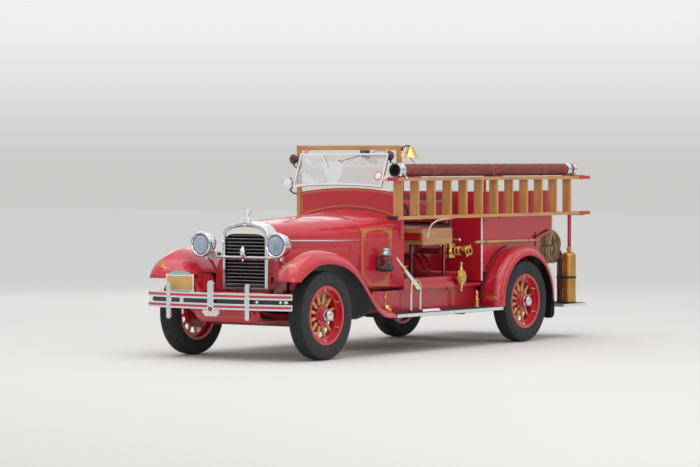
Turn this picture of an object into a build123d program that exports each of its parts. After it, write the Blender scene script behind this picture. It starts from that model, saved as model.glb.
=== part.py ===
from build123d import *
import math
import os

# Open-cab light fire engine of the late 1920s: a pumper on a truck chassis with wood-spoked
# wheels, a pump under the seat, a hose body, a ladder on the left side and a hard suction hose.
# Millimetres. +Z is up, the front faces -Y, +X is the vehicle's left side.
# The origin is on the ground, at the middle of the overall length and width.
# Every length along the vehicle is stated as a distance aft of the front axle.

# Overall sizes
WHEELBASE = 3302
TRACK = 1422
FRONT_OVERHANG = 654
REAR_OVERHANG = 1178
FENDER_HALF_WIDTH = TRACK / 2 + 111
BODY_HALF_WIDTH = TRACK / 2 - 111

# Tyre, rim and spokes
TYRE_R = 393
TYRE_W = 165
TREAD_W = 128
BEAD_R = 247
RIM_W = 134
RIM_FLANGE_R = 262
RIM_FLANGE_T = 7
FELLOE_R = 196
FELLOE_W = 58
SPOKES = 12
SPOKE_HUB_R = 19
SPOKE_TIP_R = 13.5
SPOKE_FOOT = 24
HUB_FLANGE_R = 95
HUB_FLANGE_T = 8
HUB_BARREL_R = 40
HUB_CAP_R = 43
HUB_CAP_OUT = 116
SPINDLE_R = 24
SPINDLE_OUT = 62
RUNNING_FIT = 0.08
DRUM_R = 150
DRUM_IN = 68

# Gaps between pieces that touch or pass
SEAT_GAP = 0.3
PASS_GAP = 6

# Frame
RAIL_HALF_WIDTH = 385
RAIL_FLANGE = 62
RAIL_T = 6
RAIL_BOTTOM = 462
RAIL_TOP = 592
RAIL_REAR = WHEELBASE + 988
HORN_FRONT = -480
HORN_ROOT = 230
HORN_TIP_H = 62
HORN_TIP_BOTTOM = 480

# Axles, steering and springs
KINGPIN_X = TRACK / 2 - 111
KINGPIN_R = 14
AXLE_BOSS_R = 28
AXLE_BOSS_H = 80
AXLE_BEAM_W = 50
AXLE_BEAM_H = 58
AXLE_DROP = 80
AXLE_BEND_X = KINGPIN_X - 120
AXLE_WEB_T = 14
STEERING_ARM = 150
STEERING_ARM_IN = 20
TIE_ROD_R = 11
REAR_TUBE_R = 40
DIFFERENTIAL_R = 150
BACKING_T = 6
SPRING_W = 50
LEAF_T = 9
LEAVES = 5
SPRING_EYE_R = 20
FRONT_SPRING_X = 352
FRONT_SPRING_REACH = 440
FRONT_SPRING_CAMBER = 47
REAR_SPRING_X = 430
REAR_SPRING_REACH = 560
REAR_SPRING_CAMBER = 66

# Radiator, hood and cowl
RADIATOR_FRONT = -155
RADIATOR_DEPTH = 140
RADIATOR_HALF_WIDTH = 254
RADIATOR_TOP = 1209
RADIATOR_BOTTOM = 590
RADIATOR_RIM = 34
RADIATOR_CORNER_R = 120
RADIATOR_ARCH = 26
SHUTTERS = 17
SHUTTER_TILT = 35
HOOD_FRONT = -6
COWL_FRONT = 1030
COWL_REAR = 1475
HOOD_T = 4
BELT_FRONT = 1038
BELT_REAR = 1018
HOOD_SIDE_BOTTOM = 716
LEDGE_BOTTOM = RAIL_TOP + SEAT_GAP
COWL_TOP = 1262
COWL_HALF_WIDTH = 420
DASH_TOP = 1306
HOOD_HINGE_R = 9
HOOD_HINGE_DROP = 4
HOOD_HINGE_END_GAP = 0.8
HOOD_EDGE = 9.5
BELT_BEAD_R = 6
LOUVRES = 27
LOUVRE_FIRST = 135
LOUVRE_LAST = 870
LOUVRE_SLOT_W = 6
LOUVRE_BOTTOM = 752
LOUVRE_TOP = 948

# Windshield and sign board
POST_W = 38
POST_D = 32
POST_HALF_SPAN = BODY_HALF_WIDTH - 37
POST_FRONT = COWL_REAR - 48
POST_FOOT = 1212
HEADER_TOP = 1884
HEADER_H = 42
SASH_HALF_WIDTH = POST_HALF_SPAN - 65
SASH_TUBE_R = 9
SASH_A = COWL_REAR - 97
SASH_TOP = 1808
SASH_HEIGHT = 334
SASH_TILT = 22
GLASS_T = 6
SIGN_T = 22
SIGN_TOP_MID = 1492
SIGN_TOP_END = 1452

# Cab
FLOOR_TOP = 660
FLOOR_T = 22
SILL_BOTTOM = 560
SILL_TOP = 612
SILL_LOW_TOP = 588
SEAT_FRONT = 1900
SEAT_DEPTH = 500
SEAT_HALF_WIDTH = BODY_HALF_WIDTH - 80
SEAT_BOTTOM = 975
SEAT_TOP = 1112
SEAT_BOARD_T = 22
STAND_X = 366
STAND_BAR = 22
BACK_TOP = 1415
BACK_LEAN = 90
STEERING_X = 300
STEERING_A = 1645
STEERING_Z = 1320
STEERING_WHEEL_R = 215
STEERING_HUB_H = 40
COLUMN_ANGLE = 48
COLUMN_R = 18
COLUMN_LENGTH = 1022

# Hose body and tailboard
BODY_FRONT = WHEELBASE - 522
BODY_STEP = WHEELBASE + 548
BODY_REAR = WHEELBASE + 802
BODY_BOTTOM = 600
BED_FLOOR = 1050
BODY_TOP = 1450
BODY_WALL = 18
NOTCH_TOP = 684
TAIL_FRONT = WHEELBASE + 688
TAIL_REAR = WHEELBASE + REAR_OVERHANG - 10
TAIL_TOP = 334
TAIL_T = 26
TAIL_HALF_WIDTH = FENDER_HALF_WIDTH - 32

# Fenders and running boards
FRONT_CROWN_X = FENDER_HALF_WIDTH - 122
FENDER_T = 4
REAR_FENDER_R = 532
FLAP_BOTTOM = 205
REAR_FENDER_IN = BODY_HALF_WIDTH + SEAT_GAP
BOARD_TOP = 360
BOARD_T = 34
BOARD_FRONT = 1040
BOARD_IN = 470
VALANCE_X = 540
VALANCE_TOP = 556
VALANCE_REAR = WHEELBASE - 302
VALANCE_STEP = 500

# Ladder, its brackets and the suction hose
LADDER_FRONT = 1046
LADDER_REAR = WHEELBASE + REAR_OVERHANG
LADDER_OUT = FENDER_HALF_WIDTH - 20
LADDER_BOARD_W = 100
LADDER_BOTTOM = 1212
LADDER_TOP = 1592
LADDER_RAIL_T = 30
TREADS = 12
TREAD_FIRST = 1150
TREAD_PITCH = 269.5
TREAD_T = 22
BRACKET_T = 8
RACK_POST_R = 19
RACK_POST_X = BODY_HALF_WIDTH + 34
RACK_POST_A = WHEELBASE + 1058
HOSE_R = 57
HOSE_FRONT = 1210
HOSE_REAR = WHEELBASE + 878
COUPLING_R = 64
COUPLING_RING_R = HOSE_R + BRACKET_T
COUPLING_L = 96
COUPLING_MOUTH = 14
HOSE_X = LADDER_OUT - 64

# Pump and its fittings
PUMP_A = 2450
PUMP_R = 155
PUMP_Z = 700
SUCTION_A = 2390
SUCTION_Z = 650
SUCTION_R = 56
SUCTION_OUT = BODY_HALF_WIDTH + 10
SUCTION_BORE_R = 45
SUCTION_BORE_L = 60
DISCHARGE_A = 2500
DISCHARGE_Z = 892
DISCHARGE_R = 36
OUTLET_BORE_R = 24
OUTLET_OUT = BODY_HALF_WIDTH + 60
OUTLET_BORE_L = 60

# Front end
BUMPER_HALF = FENDER_HALF_WIDTH - 37
BUMPER_BOW = 108
BUMPER_T = 12
BUMPER_BAR_H = 54
UPPER_BAR_Z = 570
LOWER_BAR_Z = 478
BUMPER_CLIP_T = 14
BUMPER_FACE = BUMPER_CLIP_T - FRONT_OVERHANG
LAMP_X = 414
LAMP_A = -257
LAMP_Z = 1003
LAMP_R = 112
LAMP_TIP_R = 10
LAMP_DEPTH = 190
LAMP_BAR_Z = 892
LAMP_BAR_R = 13

# Tanks on the tailboard: radius, x, distance aft, height of the shoulder's top
TANKS = [
    (68, FENDER_HALF_WIDTH - 132, WHEELBASE + 958, 505),
    (40, FENDER_HALF_WIDTH - 239, WHEELBASE + 980, 450),
]

FRONT_AXLE_Y = FRONT_OVERHANG - (FRONT_OVERHANG + WHEELBASE + REAR_OVERHANG) / 2
AXLE_Z = TYRE_R


def aft(distance):
    return FRONT_AXLE_Y + distance


def box(x0, x1, a0, a1, z0, z1):
    centre = Pos((x0 + x1) / 2, aft((a0 + a1) / 2), (z0 + z1) / 2)
    return centre * Box(abs(x1 - x0), abs(a1 - a0), abs(z1 - z0))


def rod_x(radius, x0, x1, a, z):
    return Pos((x0 + x1) / 2, aft(a), z) * Rot(0, 90, 0) * Cylinder(radius, abs(x1 - x0))


def rod_y(radius, x, a0, a1, z):
    return Pos(x, aft((a0 + a1) / 2), z) * Rot(90, 0, 0) * Cylinder(radius, abs(a1 - a0))


def rod_z(radius, x, a, z0, z1):
    return Pos(x, aft(a), (z0 + z1) / 2) * Cylinder(radius, abs(z1 - z0))


def rod_between(radius, start, end):
    path = Edge.make_line(start, end)
    return extrude(Plane(path @ 0, z_dir=path % 0) * Circle(radius), path.length)


def side_slab(points, x0, x1):
    # points are (distance aft, height)
    wire = Polyline(*[(aft(a), z) for a, z in points], close=True)
    return extrude(Plane((x0, 0, 0), x_dir=(0, 1, 0), z_dir=(1, 0, 0)) * make_face(wire), x1 - x0)


def front_slab(points, a0, a1):
    # points are (x, height)
    wire = Polyline(*points, close=True)
    plane = Plane((0, aft(a1), 0), x_dir=(1, 0, 0), z_dir=(0, -1, 0))
    return extrude(plane * make_face(wire), a1 - a0)


def plan_slab(points, z0, z1):
    # points are (x, distance aft)
    wire = Polyline(*[(x, aft(a)) for x, a in points], close=True)
    return extrude(Plane((0, 0, z0)) * make_face(wire), z1 - z0)


def mirrored(shape):
    return mirror(shape, about=Plane.YZ)


def pair(shape):
    return [shape, mirrored(shape)]


def fuse(shapes):
    whole = shapes[0]
    for shape in shapes[1:]:
        whole = whole + shape
    return whole


def save(name, *shapes):
    solids = [solid for shape in shapes for solid in shape.solids()]
    export_step(Compound(children=solids), f"parts/{name}.step")


# Wheels: sections are (distance out from the wheel's middle, radius), spun about the axle

def spin(outline, x, a):
    face = make_face(outline)
    return Pos(x, aft(a), AXLE_Z) * revolve(face, Axis.X, 360)


def tyre(x, a):
    bead = RIM_W / 2 - RIM_FLANGE_T - SEAT_GAP
    foot_r = BEAD_R + SEAT_GAP
    lip_r = RIM_FLANGE_R + 4
    widest_r = lip_r + 0.44 * (TYRE_R - lip_r)
    shoulder = TREAD_W / 2
    outline = Curve() + [
        Polyline((bead, foot_r), (bead, lip_r), (bead + 9, lip_r + 2)),
        ThreePointArc((bead + 9, lip_r + 2), (TYRE_W / 2, widest_r), (shoulder + 4, TYRE_R - 18)),
        ThreePointArc((shoulder + 4, TYRE_R - 18), (shoulder + 1, TYRE_R - 10), (shoulder - 6, TYRE_R - 6)),
        ThreePointArc((shoulder - 6, TYRE_R - 6), (0, TYRE_R), (6 - shoulder, TYRE_R - 6)),
        ThreePointArc((6 - shoulder, TYRE_R - 6), (-shoulder - 1, TYRE_R - 10), (-shoulder - 4, TYRE_R - 18)),
        ThreePointArc((-shoulder - 4, TYRE_R - 18), (-TYRE_W / 2, widest_r), (-bead - 9, lip_r + 2)),
        Polyline((-bead - 9, lip_r + 2), (-bead, lip_r), (-bead, foot_r), (bead, foot_r)),
    ]
    return spin(outline, x, a)


def rim(x, a):
    edge = RIM_W / 2
    seat = edge - RIM_FLANGE_T
    half = FELLOE_W / 2
    outline = Polyline(
        (-edge, RIM_FLANGE_R), (-seat, RIM_FLANGE_R), (-seat, BEAD_R), (seat, BEAD_R),
        (seat, RIM_FLANGE_R), (edge, RIM_FLANGE_R), (edge, BEAD_R - 11), (half, BEAD_R - 11),
        (half, FELLOE_R), (-half, FELLOE_R), (-half, BEAD_R - 11), (-edge, BEAD_R - 11), close=True)
    return spin(outline, x, a)


def hub(x, a):
    face = SPOKE_FOOT - 2
    outline = Polyline(
        (-DRUM_IN, SPINDLE_R + RUNNING_FIT), (-DRUM_IN, HUB_BARREL_R),
        (-face - 6, HUB_BARREL_R), (-face - 6, DRUM_R - 6), (-DRUM_IN, DRUM_R - 6),
        (-DRUM_IN, DRUM_R), (-face, DRUM_R), (-face, 60), (face, 60),
        (face, HUB_FLANGE_R), (face + HUB_FLANGE_T, HUB_FLANGE_R - 4), (face + HUB_FLANGE_T, HUB_BARREL_R),
        (HUB_CAP_OUT - 44, HUB_BARREL_R), (HUB_CAP_OUT - 42, HUB_CAP_R), (HUB_CAP_OUT - 10, HUB_CAP_R),
        (HUB_CAP_OUT, HUB_CAP_R - 14), (HUB_CAP_OUT, 0), (SPINDLE_OUT + 2, 0),
        (SPINDLE_OUT + 2, SPINDLE_R + RUNNING_FIT), close=True)
    return spin(outline, x, a)


def spoke(x, a, angle):
    length = FELLOE_R - 56
    body = Cone(SPOKE_HUB_R, SPOKE_TIP_R, length, align=(Align.CENTER, Align.CENTER, Align.MIN))
    foot = Pos(0, 0, -8) * Box(2 * SPOKE_FOOT - 4, 24, 44, align=(Align.CENTER, Align.CENTER, Align.MIN))
    turn = Pos(x, aft(a), AXLE_Z) * Rot(angle, 0, 0) * Pos(0, 0, 60)
    return turn * (body + foot)


def wheel(x, a):
    step = 360 / SPOKES
    spokes = [spoke(x, a, (i + 0.5) * step) for i in range(SPOKES)]
    return fuse([hub(x, a), rim(x, a)] + spokes)


# Frame and running gear

def rail():
    tip = HORN_TIP_BOTTOM
    outline = [(HORN_FRONT, tip), (HORN_FRONT, tip + HORN_TIP_H), (HORN_ROOT, RAIL_TOP),
               (RAIL_REAR, RAIL_TOP), (RAIL_REAR, RAIL_BOTTOM), (HORN_ROOT, RAIL_BOTTOM)]
    inner = [(HORN_FRONT + 3 * RAIL_T, tip + RAIL_T), (HORN_FRONT + 3 * RAIL_T, tip + HORN_TIP_H - RAIL_T),
             (HORN_ROOT, RAIL_TOP - RAIL_T), (RAIL_REAR - RAIL_T, RAIL_TOP - RAIL_T),
             (RAIL_REAR - RAIL_T, RAIL_BOTTOM + RAIL_T), (HORN_ROOT, RAIL_BOTTOM + RAIL_T)]
    inside = RAIL_HALF_WIDTH - RAIL_FLANGE
    solid = side_slab(outline, inside, RAIL_HALF_WIDTH)
    return solid - side_slab(inner, inside, RAIL_HALF_WIDTH - RAIL_T)


# Cross members: distance aft, depth along the vehicle, bottom, top
CROSS_MEMBERS = [
    (-40, 90, 500, RADIATOR_BOTTOM - SEAT_GAP),
    (1560, 80, 458, 504),
    (2120, 80, 545, 586),
    (WHEELBASE - 462, 80, 475, 580),
    (WHEELBASE + 458, 80, 475, 580),
    (WHEELBASE + 938, 80, 475, 580),
]


def cross_member(a, depth, bottom, top):
    half = RAIL_HALF_WIDTH - RAIL_T
    solid = box(-half, half, a - depth / 2, a + depth / 2, bottom, top)
    channel = box(-half, half, a - depth / 2 + RAIL_T, a + depth / 2, bottom + RAIL_T, top - RAIL_T)
    return solid - channel


def frame_rails():
    members = [cross_member(*row) for row in CROSS_MEMBERS]
    return fuse(pair(rail()) + members)


def front_apron():
    # pressed pan below the radiator, between the frame horns
    half = RAIL_HALF_WIDTH - RAIL_FLANGE - SEAT_GAP
    outline = [(-470, 512), (-470, 540), (-175, 586), (-175, 540)]
    return side_slab(outline, -half, half)


def front_axle():
    beam_z = AXLE_Z - AXLE_DROP
    half = AXLE_BEAM_H / 2
    flat_x = KINGPIN_X - 42
    top_bend_x = AXLE_BEND_X - 30
    outline = [(-KINGPIN_X, AXLE_Z + half), (-KINGPIN_X, AXLE_Z - half), (-flat_x, AXLE_Z - half),
               (-AXLE_BEND_X, beam_z - half), (AXLE_BEND_X, beam_z - half), (flat_x, AXLE_Z - half),
               (KINGPIN_X, AXLE_Z - half), (KINGPIN_X, AXLE_Z + half), (flat_x - 20, AXLE_Z + half),
               (top_bend_x, beam_z + half), (-top_bend_x, beam_z + half), (20 - flat_x, AXLE_Z + half)]
    beam = front_slab(outline, -AXLE_BEAM_W / 2, AXLE_BEAM_W / 2)
    recess_half = half - 13
    recess_x = AXLE_BEND_X - 20
    recess = [(-recess_x, beam_z - recess_half), (recess_x, beam_z - recess_half),
              (recess_x - 20, beam_z + recess_half), (20 - recess_x, beam_z + recess_half)]
    for side in (-1, 1):
        inner, outer = sorted((side * AXLE_WEB_T / 2, side * (AXLE_BEAM_W / 2 + 1)))
        beam = beam - front_slab(recess, inner, outer)
    parts = [beam]
    for side in (-1, 1):
        x = side * KINGPIN_X
        parts.append(rod_z(AXLE_BOSS_R, x, 0, AXLE_Z - AXLE_BOSS_H / 2, AXLE_Z + AXLE_BOSS_H / 2))
        pad = FRONT_SPRING_X * side
        parts.append(box(pad - 34, pad + 34, -50, 50, beam_z + half - 4, spring_seat()))
    solid = fuse(parts)
    for side in (-1, 1):
        solid = solid - rod_z(KINGPIN_R + RUNNING_FIT, side * KINGPIN_X, 0, AXLE_Z - 90, AXLE_Z + 90)
    return solid


def spring_seat():
    return AXLE_Z - AXLE_DROP + AXLE_BEAM_H / 2 + 6


def knuckle():
    # the left one; the fork's two ears hold the axle's boss, and the arm reaches aft
    top = AXLE_Z + AXLE_BOSS_H / 2 + 0.5
    bottom = AXLE_Z - AXLE_BOSS_H / 2 - 0.5
    ear = 20
    plate_in = TRACK / 2 - DRUM_IN - 2 - BACKING_T
    parts = [
        rod_z(KINGPIN_R, KINGPIN_X, 0, bottom - ear, top + ear),
        rod_z(AXLE_BOSS_R, KINGPIN_X, 0, top, top + ear),
        rod_z(AXLE_BOSS_R, KINGPIN_X, 0, bottom - ear, bottom),
        box(KINGPIN_X, plate_in, -24, 24, top, top + ear),
        box(KINGPIN_X, plate_in, -24, 24, bottom - ear, bottom),
        rod_x(DRUM_R - 8, plate_in, plate_in + BACKING_T, 0, AXLE_Z),
        rod_x(SPINDLE_R, plate_in, TRACK / 2 + SPINDLE_OUT, 0, AXLE_Z),
    ]
    end_x = KINGPIN_X - STEERING_ARM_IN
    lean = math.degrees(math.atan2(STEERING_ARM_IN, STEERING_ARM))
    span = math.hypot(STEERING_ARM_IN, STEERING_ARM)
    middle = Pos((KINGPIN_X + end_x) / 2, aft(STEERING_ARM / 2), bottom - ear / 2) * Rot(0, 0, lean)
    parts.append(middle * Box(26, span, ear - 4))
    parts.append(rod_z(17, end_x, STEERING_ARM, bottom - ear + 2, bottom - 2))
    return fuse(parts)


def tie_rod():
    arm_bottom = AXLE_Z - AXLE_BOSS_H / 2 - 0.5 - 20 + 2
    end_x = KINGPIN_X - STEERING_ARM_IN
    z = arm_bottom - 22
    parts = [rod_x(TIE_ROD_R, -end_x, end_x, STEERING_ARM, z)]
    for side in (-1, 1):
        parts.append(rod_z(14, side * end_x, STEERING_ARM, z - 14, arm_bottom - SEAT_GAP))
    return fuse(parts)


def rear_axle():
    a = WHEELBASE
    plate_out = TRACK / 2 - DRUM_IN - 2
    parts = [rod_x(REAR_TUBE_R, -plate_out + 4, plate_out - 4, a, AXLE_Z)]
    parts.append(spin(Polyline((-170, 0), (-170, REAR_TUBE_R + 8), (-60, DIFFERENTIAL_R),
                               (60, DIFFERENTIAL_R), (170, REAR_TUBE_R + 8), (170, 0), close=True), 0, a))
    parts.append(rod_y(70, 0, a - DIFFERENTIAL_R - 90, a, AXLE_Z + 10))
    for side in (-1, 1):
        parts.append(rod_x(DRUM_R - 8, side * (plate_out - BACKING_T), side * plate_out, a, AXLE_Z))
        parts.append(rod_x(SPINDLE_R, side * (plate_out - 4), side * (TRACK / 2 + SPINDLE_OUT), a, AXLE_Z))
        pad = REAR_SPRING_X * side
        parts.append(box(pad - 34, pad + 34, a - 60, a + 60, AXLE_Z, AXLE_Z + REAR_TUBE_R + 8))
    return fuse(parts)


def leaf(x, a, z, reach, camber, step):
    # one leaf: an arc strip, hollow side up; every next leaf below is shorter
    radius = (reach ** 2 + camber ** 2) / (2 * camber)
    centre_z = z + radius + LEAVES * LEAF_T
    inner = radius + step * LEAF_T
    outer = inner + LEAF_T
    half_angle = math.asin(reach / radius) * (1 - 0.17 * step)
    strip = []
    for r, sign in ((inner, 1), (outer, -1)):
        ends = [(aft(a) + r * math.sin(k * half_angle), centre_z - r * math.cos(k * half_angle))
                for k in (-sign, 0, sign)]
        strip.append(ThreePointArc(*ends))
    left = Line(strip[0] @ 1, strip[1] @ 0)
    right = Line(strip[1] @ 1, strip[0] @ 0)
    face = make_face(Curve() + [strip[0], left, strip[1], right])
    plane = Plane((x - SPRING_W / 2, 0, 0), x_dir=(0, 1, 0), z_dir=(1, 0, 0))
    return extrude(plane * face, SPRING_W)


def spring(x, a, z, reach, camber, hanger_tops):
    leaves = [leaf(x, a, z, reach, camber, step) for step in range(LEAVES)]
    eye_z = z + LEAVES * LEAF_T + camber
    parts = leaves
    half = SPRING_W / 2
    for side, top in zip((-1, 1), hanger_tops):
        eye = a + side * reach
        parts.append(rod_x(SPRING_EYE_R, x - half, x + half, eye, eye_z))
        if top:
            parts.append(box(x - half, x + half, eye - 12, eye + 12, eye_z, top))
    return fuse(parts)


def rear_hanger(eye):
    # bracket on the rail's outer face with the pin that carries the eye
    z = AXLE_Z + REAR_TUBE_R + 8 + LEAVES * LEAF_T + REAR_SPRING_CAMBER
    inner = RAIL_HALF_WIDTH
    outer = REAR_SPRING_X - SPRING_W / 2
    return box(inner, outer, eye - 30, eye + 30, z - 32, min(z + 40, RAIL_TOP))


def leaf_springs():
    front_z = spring_seat()
    rear_z = AXLE_Z + REAR_TUBE_R + 8
    slope = (RAIL_BOTTOM - HORN_TIP_BOTTOM) / (HORN_ROOT - HORN_FRONT)
    horn_z = HORN_TIP_BOTTOM + slope * (-FRONT_SPRING_REACH - HORN_FRONT)
    front = spring(FRONT_SPRING_X, 0, front_z, FRONT_SPRING_REACH, FRONT_SPRING_CAMBER,
                   (horn_z - 1, RAIL_BOTTOM))
    rear = spring(REAR_SPRING_X, WHEELBASE, rear_z, REAR_SPRING_REACH, REAR_SPRING_CAMBER, (0, 0))
    hangers = [rear_hanger(WHEELBASE + side * REAR_SPRING_REACH) for side in (-1, 1)]
    rear = fuse([rear] + hangers)
    return pair(front) + pair(rear)


def engine_block():
    half = RAIL_HALF_WIDTH - RAIL_T
    block = box(-150, 150, 110, 900, 450, 1060)
    bell = rod_y(165, 0, 900, 975, 560)
    arms = [box(-half, half, a - 25, a + 25, RAIL_TOP - 50, RAIL_TOP - 16) for a in (270, 850)]
    return fuse([block, bell] + arms)


def drive_line():
    gearbox = box(-110, 110, 975, 1340, 450, 630)
    tail_z = 560
    tail = rod_y(50, 0, 1340, 1430, tail_z)
    nose = WHEELBASE - DIFFERENTIAL_R - 90
    start = (0, aft(1430), tail_z)
    end = (0, aft(nose - 50), AXLE_Z + 10)
    flange = rod_y(60, 0, nose - 52, nose - SEAT_GAP, AXLE_Z + 10)
    joints = [Pos(*start) * Sphere(50), Pos(*end) * Sphere(50)]
    return fuse([gearbox, tail, flange, rod_between(32, start, end)] + joints)


def exhaust():
    x = -250
    z = 420
    pipe = rod_y(24, x, 300, WHEELBASE - 322, z)
    muffler = rod_y(75, x, 1850, 2500, z)
    riser = rod_z(24, x, 324, z, 760)
    port = rod_x(24, x, -150, 324, 760)
    hangers = [box(x - 10, x + 10, a - 4, a + 4, z + 20, low - SEAT_GAP)
               for a, _, low, _ in (CROSS_MEMBERS[1], CROSS_MEMBERS[3])]
    return fuse([pipe, muffler, riser, port] + hangers)


# Radiator, hood and cowl

def radiator_outline(inset):
    # an arched top between two round corners, seen from the front
    half = RADIATOR_HALF_WIDTH - inset
    top = RADIATOR_TOP - inset
    bottom = RADIATOR_BOTTOM + inset
    corner = RADIATOR_CORNER_R - inset
    side_top = top - RADIATOR_ARCH - corner
    diagonal = corner * math.sin(math.radians(45))
    shoulder = (half - corner, top - RADIATOR_ARCH)
    bend = (half - corner + diagonal, side_top + diagonal)
    return Curve() + [
        Polyline((-half, side_top), (-half, bottom), (half, bottom), (half, side_top)),
        ThreePointArc((half, side_top), bend, shoulder),
        ThreePointArc(shoulder, (0, top), (-shoulder[0], shoulder[1])),
        ThreePointArc((-shoulder[0], shoulder[1]), (-bend[0], bend[1]), (-half, side_top)),
    ]


def radiator_slab(inset, front, back):
    plane = Plane((0, aft(back), 0), x_dir=(1, 0, 0), z_dir=(0, -1, 0))
    return extrude(plane * make_face(radiator_outline(inset)), back - front)


def radiator_shell():
    back = RADIATOR_FRONT + RADIATOR_DEPTH
    shell = radiator_slab(0, RADIATOR_FRONT, back)
    front_edges = shell.faces().sort_by(Axis.Y)[0].edges()
    shell = fillet(front_edges, 12)
    return shell - radiator_slab(RADIATOR_RIM, RADIATOR_FRONT - 1, back + 1)


def radiator_shutters():
    inset = RADIATOR_RIM + 0.8
    core = radiator_slab(inset, RADIATOR_FRONT + 50, RADIATOR_FRONT + RADIATOR_DEPTH - 10)
    low = RADIATOR_BOTTOM + inset
    pitch = (RADIATOR_TOP - RADIATOR_ARCH - inset - low) / SHUTTERS
    blades = []
    for i in range(SHUTTERS):
        z = low + (i + 0.5) * pitch
        blade = Box(2 * RADIATOR_HALF_WIDTH, 3, pitch * 1.1)
        blades.append(Pos(0, aft(RADIATOR_FRONT + 36), z) * Rot(SHUTTER_TILT, 0, 0) * blade)
    field = radiator_slab(inset, RADIATOR_FRONT + 12, RADIATOR_FRONT + 60)
    bars = [box(x - 4, x + 4, RADIATOR_FRONT + 44, RADIATOR_FRONT + 60, low, low + SHUTTERS * pitch)
            for x in (-140, 0, 140)]
    blades = [blade & field for blade in blades]
    return fuse([core] + bars + blades)


# Sections from the radiator to the cab: distance aft, half width at the belt, top, belt height,
# and how far out the crown's shoulder lies, as a share of the half width
BODY_SECTIONS = {
    "hood_front": (HOOD_FRONT, RADIATOR_HALF_WIDTH - 2, RADIATOR_TOP - 4, BELT_FRONT, 0.74),
    "hood_rear": (COWL_FRONT, COWL_HALF_WIDTH, COWL_TOP, BELT_REAR, 0.74),
    "cowl_rear": (COWL_REAR, BODY_HALF_WIDTH - 4, DASH_TOP, BELT_REAR + 10, 0.80),
}


def crown_arch(half, top, belt, shoulder_share):
    # three arcs from the left belt over the crown to the right belt
    rise = top - belt
    shoulder = (half * shoulder_share, belt + rise * 0.79)
    bend = (half * (0.82 + 0.18 * shoulder_share), belt + rise * 0.45)
    return [
        ThreePointArc((half, belt), bend, shoulder),
        ThreePointArc(shoulder, (0, top), (-shoulder[0], shoulder[1])),
        ThreePointArc((-shoulder[0], shoulder[1]), (-bend[0], bend[1]), (-half, belt)),
    ]


def top_section(a, half, top, belt, shoulder_share, inset):
    # the crowned top panel's thin section, from belt to belt
    outer = crown_arch(half, top, belt, shoulder_share)
    inner = crown_arch(half - inset, top - inset, belt, shoulder_share)
    ends = [Line((half, belt), (half - inset, belt)), Line((inset - half, belt), (-half, belt))]
    plane = Plane((0, aft(a), 0), x_dir=(1, 0, 0), z_dir=(0, -1, 0))
    return plane * make_face(Curve() + outer + inner + ends)


def filled_section(a, half, top, belt, shoulder_share, proud):
    # the same section without its hollow, a little larger all round
    arcs = crown_arch(half + proud, top + proud, belt, shoulder_share)
    base = Line((-half - proud, belt), (half + proud, belt))
    plane = Plane((0, aft(a), 0), x_dir=(1, 0, 0), z_dir=(0, -1, 0))
    return plane * make_face(Curve() + arcs + [base])


def side_panel(front, rear, thick, bottom):
    # the left wall between two sections: upright, splayed in plan, cut off along the belt line
    a0, half0, belt0 = front
    a1, half1, belt1 = rear
    wall = plan_slab([(half0 - thick, a0), (half0, a0), (half1, a1), (half1 - thick, a1)],
                     bottom, max(belt0, belt1))
    return wall & side_slab([(a0, bottom), (a1, bottom), (a1, belt1), (a0, belt0)], 0, BODY_HALF_WIDTH)


def hood_half():
    # the left half: crowned top, bead and side panel, which swing up about the centre hinge
    a0, half0, top0, belt0, share0 = BODY_SECTIONS["hood_front"]
    a1, half1, top1, belt1, share1 = BODY_SECTIONS["hood_rear"]
    a1 = a1 - PASS_GAP
    top = loft([top_section(a0, half0, top0, belt0, share0, HOOD_T),
                top_section(a1, half1, top1, belt1, share1, HOOD_T)], ruled=True)
    top = top & box(HOOD_EDGE, BODY_HALF_WIDTH, a0 - 1, a1 + 1, BELT_REAR - 20, COWL_TOP + 20)
    side = side_panel((a0, half0, belt0), (a1, half1, belt1), HOOD_T, HOOD_SIDE_BOTTOM)
    bead = rod_between(BELT_BEAD_R, (half0, aft(a0), belt0), (half1, aft(a1), belt1))
    bead = bead & box(0, BODY_HALF_WIDTH, a0 + 3, a1 - 3, BELT_REAR - 20, BELT_FRONT + 20)
    return fuse([top, side - louvre_slots(), bead])


def louvre_slots():
    # upright vents through the side panel
    pitch = (LOUVRE_LAST - LOUVRE_FIRST) / (LOUVRES - 1)
    middles = [LOUVRE_FIRST + i * pitch for i in range(LOUVRES)]
    half = LOUVRE_SLOT_W / 2
    return Compound(children=[box(RADIATOR_HALF_WIDTH - 20, COWL_HALF_WIDTH + 20, a - half, a + half,
                                  LOUVRE_BOTTOM, LOUVRE_TOP) for a in middles])


def hood_hinge():
    # fixed rod between the radiator shell and the cowl, along the middle of the hood
    front = RADIATOR_FRONT + RADIATOR_DEPTH + HOOD_HINGE_END_GAP
    start = (0, aft(front), RADIATOR_TOP - 4 - HOOD_HINGE_DROP)
    end = (0, aft(COWL_FRONT - HOOD_HINGE_END_GAP), COWL_TOP - HOOD_HINGE_DROP)
    return rod_between(HOOD_HINGE_R, start, end)


def hood_ledges():
    # the fixed ledge that each side panel closes on, down to the rail
    a0, half0 = BODY_SECTIONS["hood_front"][:2]
    a1, half1 = BODY_SECTIONS["hood_rear"][:2]
    top = HOOD_SIDE_BOTTOM - PASS_GAP
    return pair(side_panel((a0, half0, top), (a1 - SEAT_GAP, half1, top), HOOD_T, LEDGE_BOTTOM))


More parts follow.
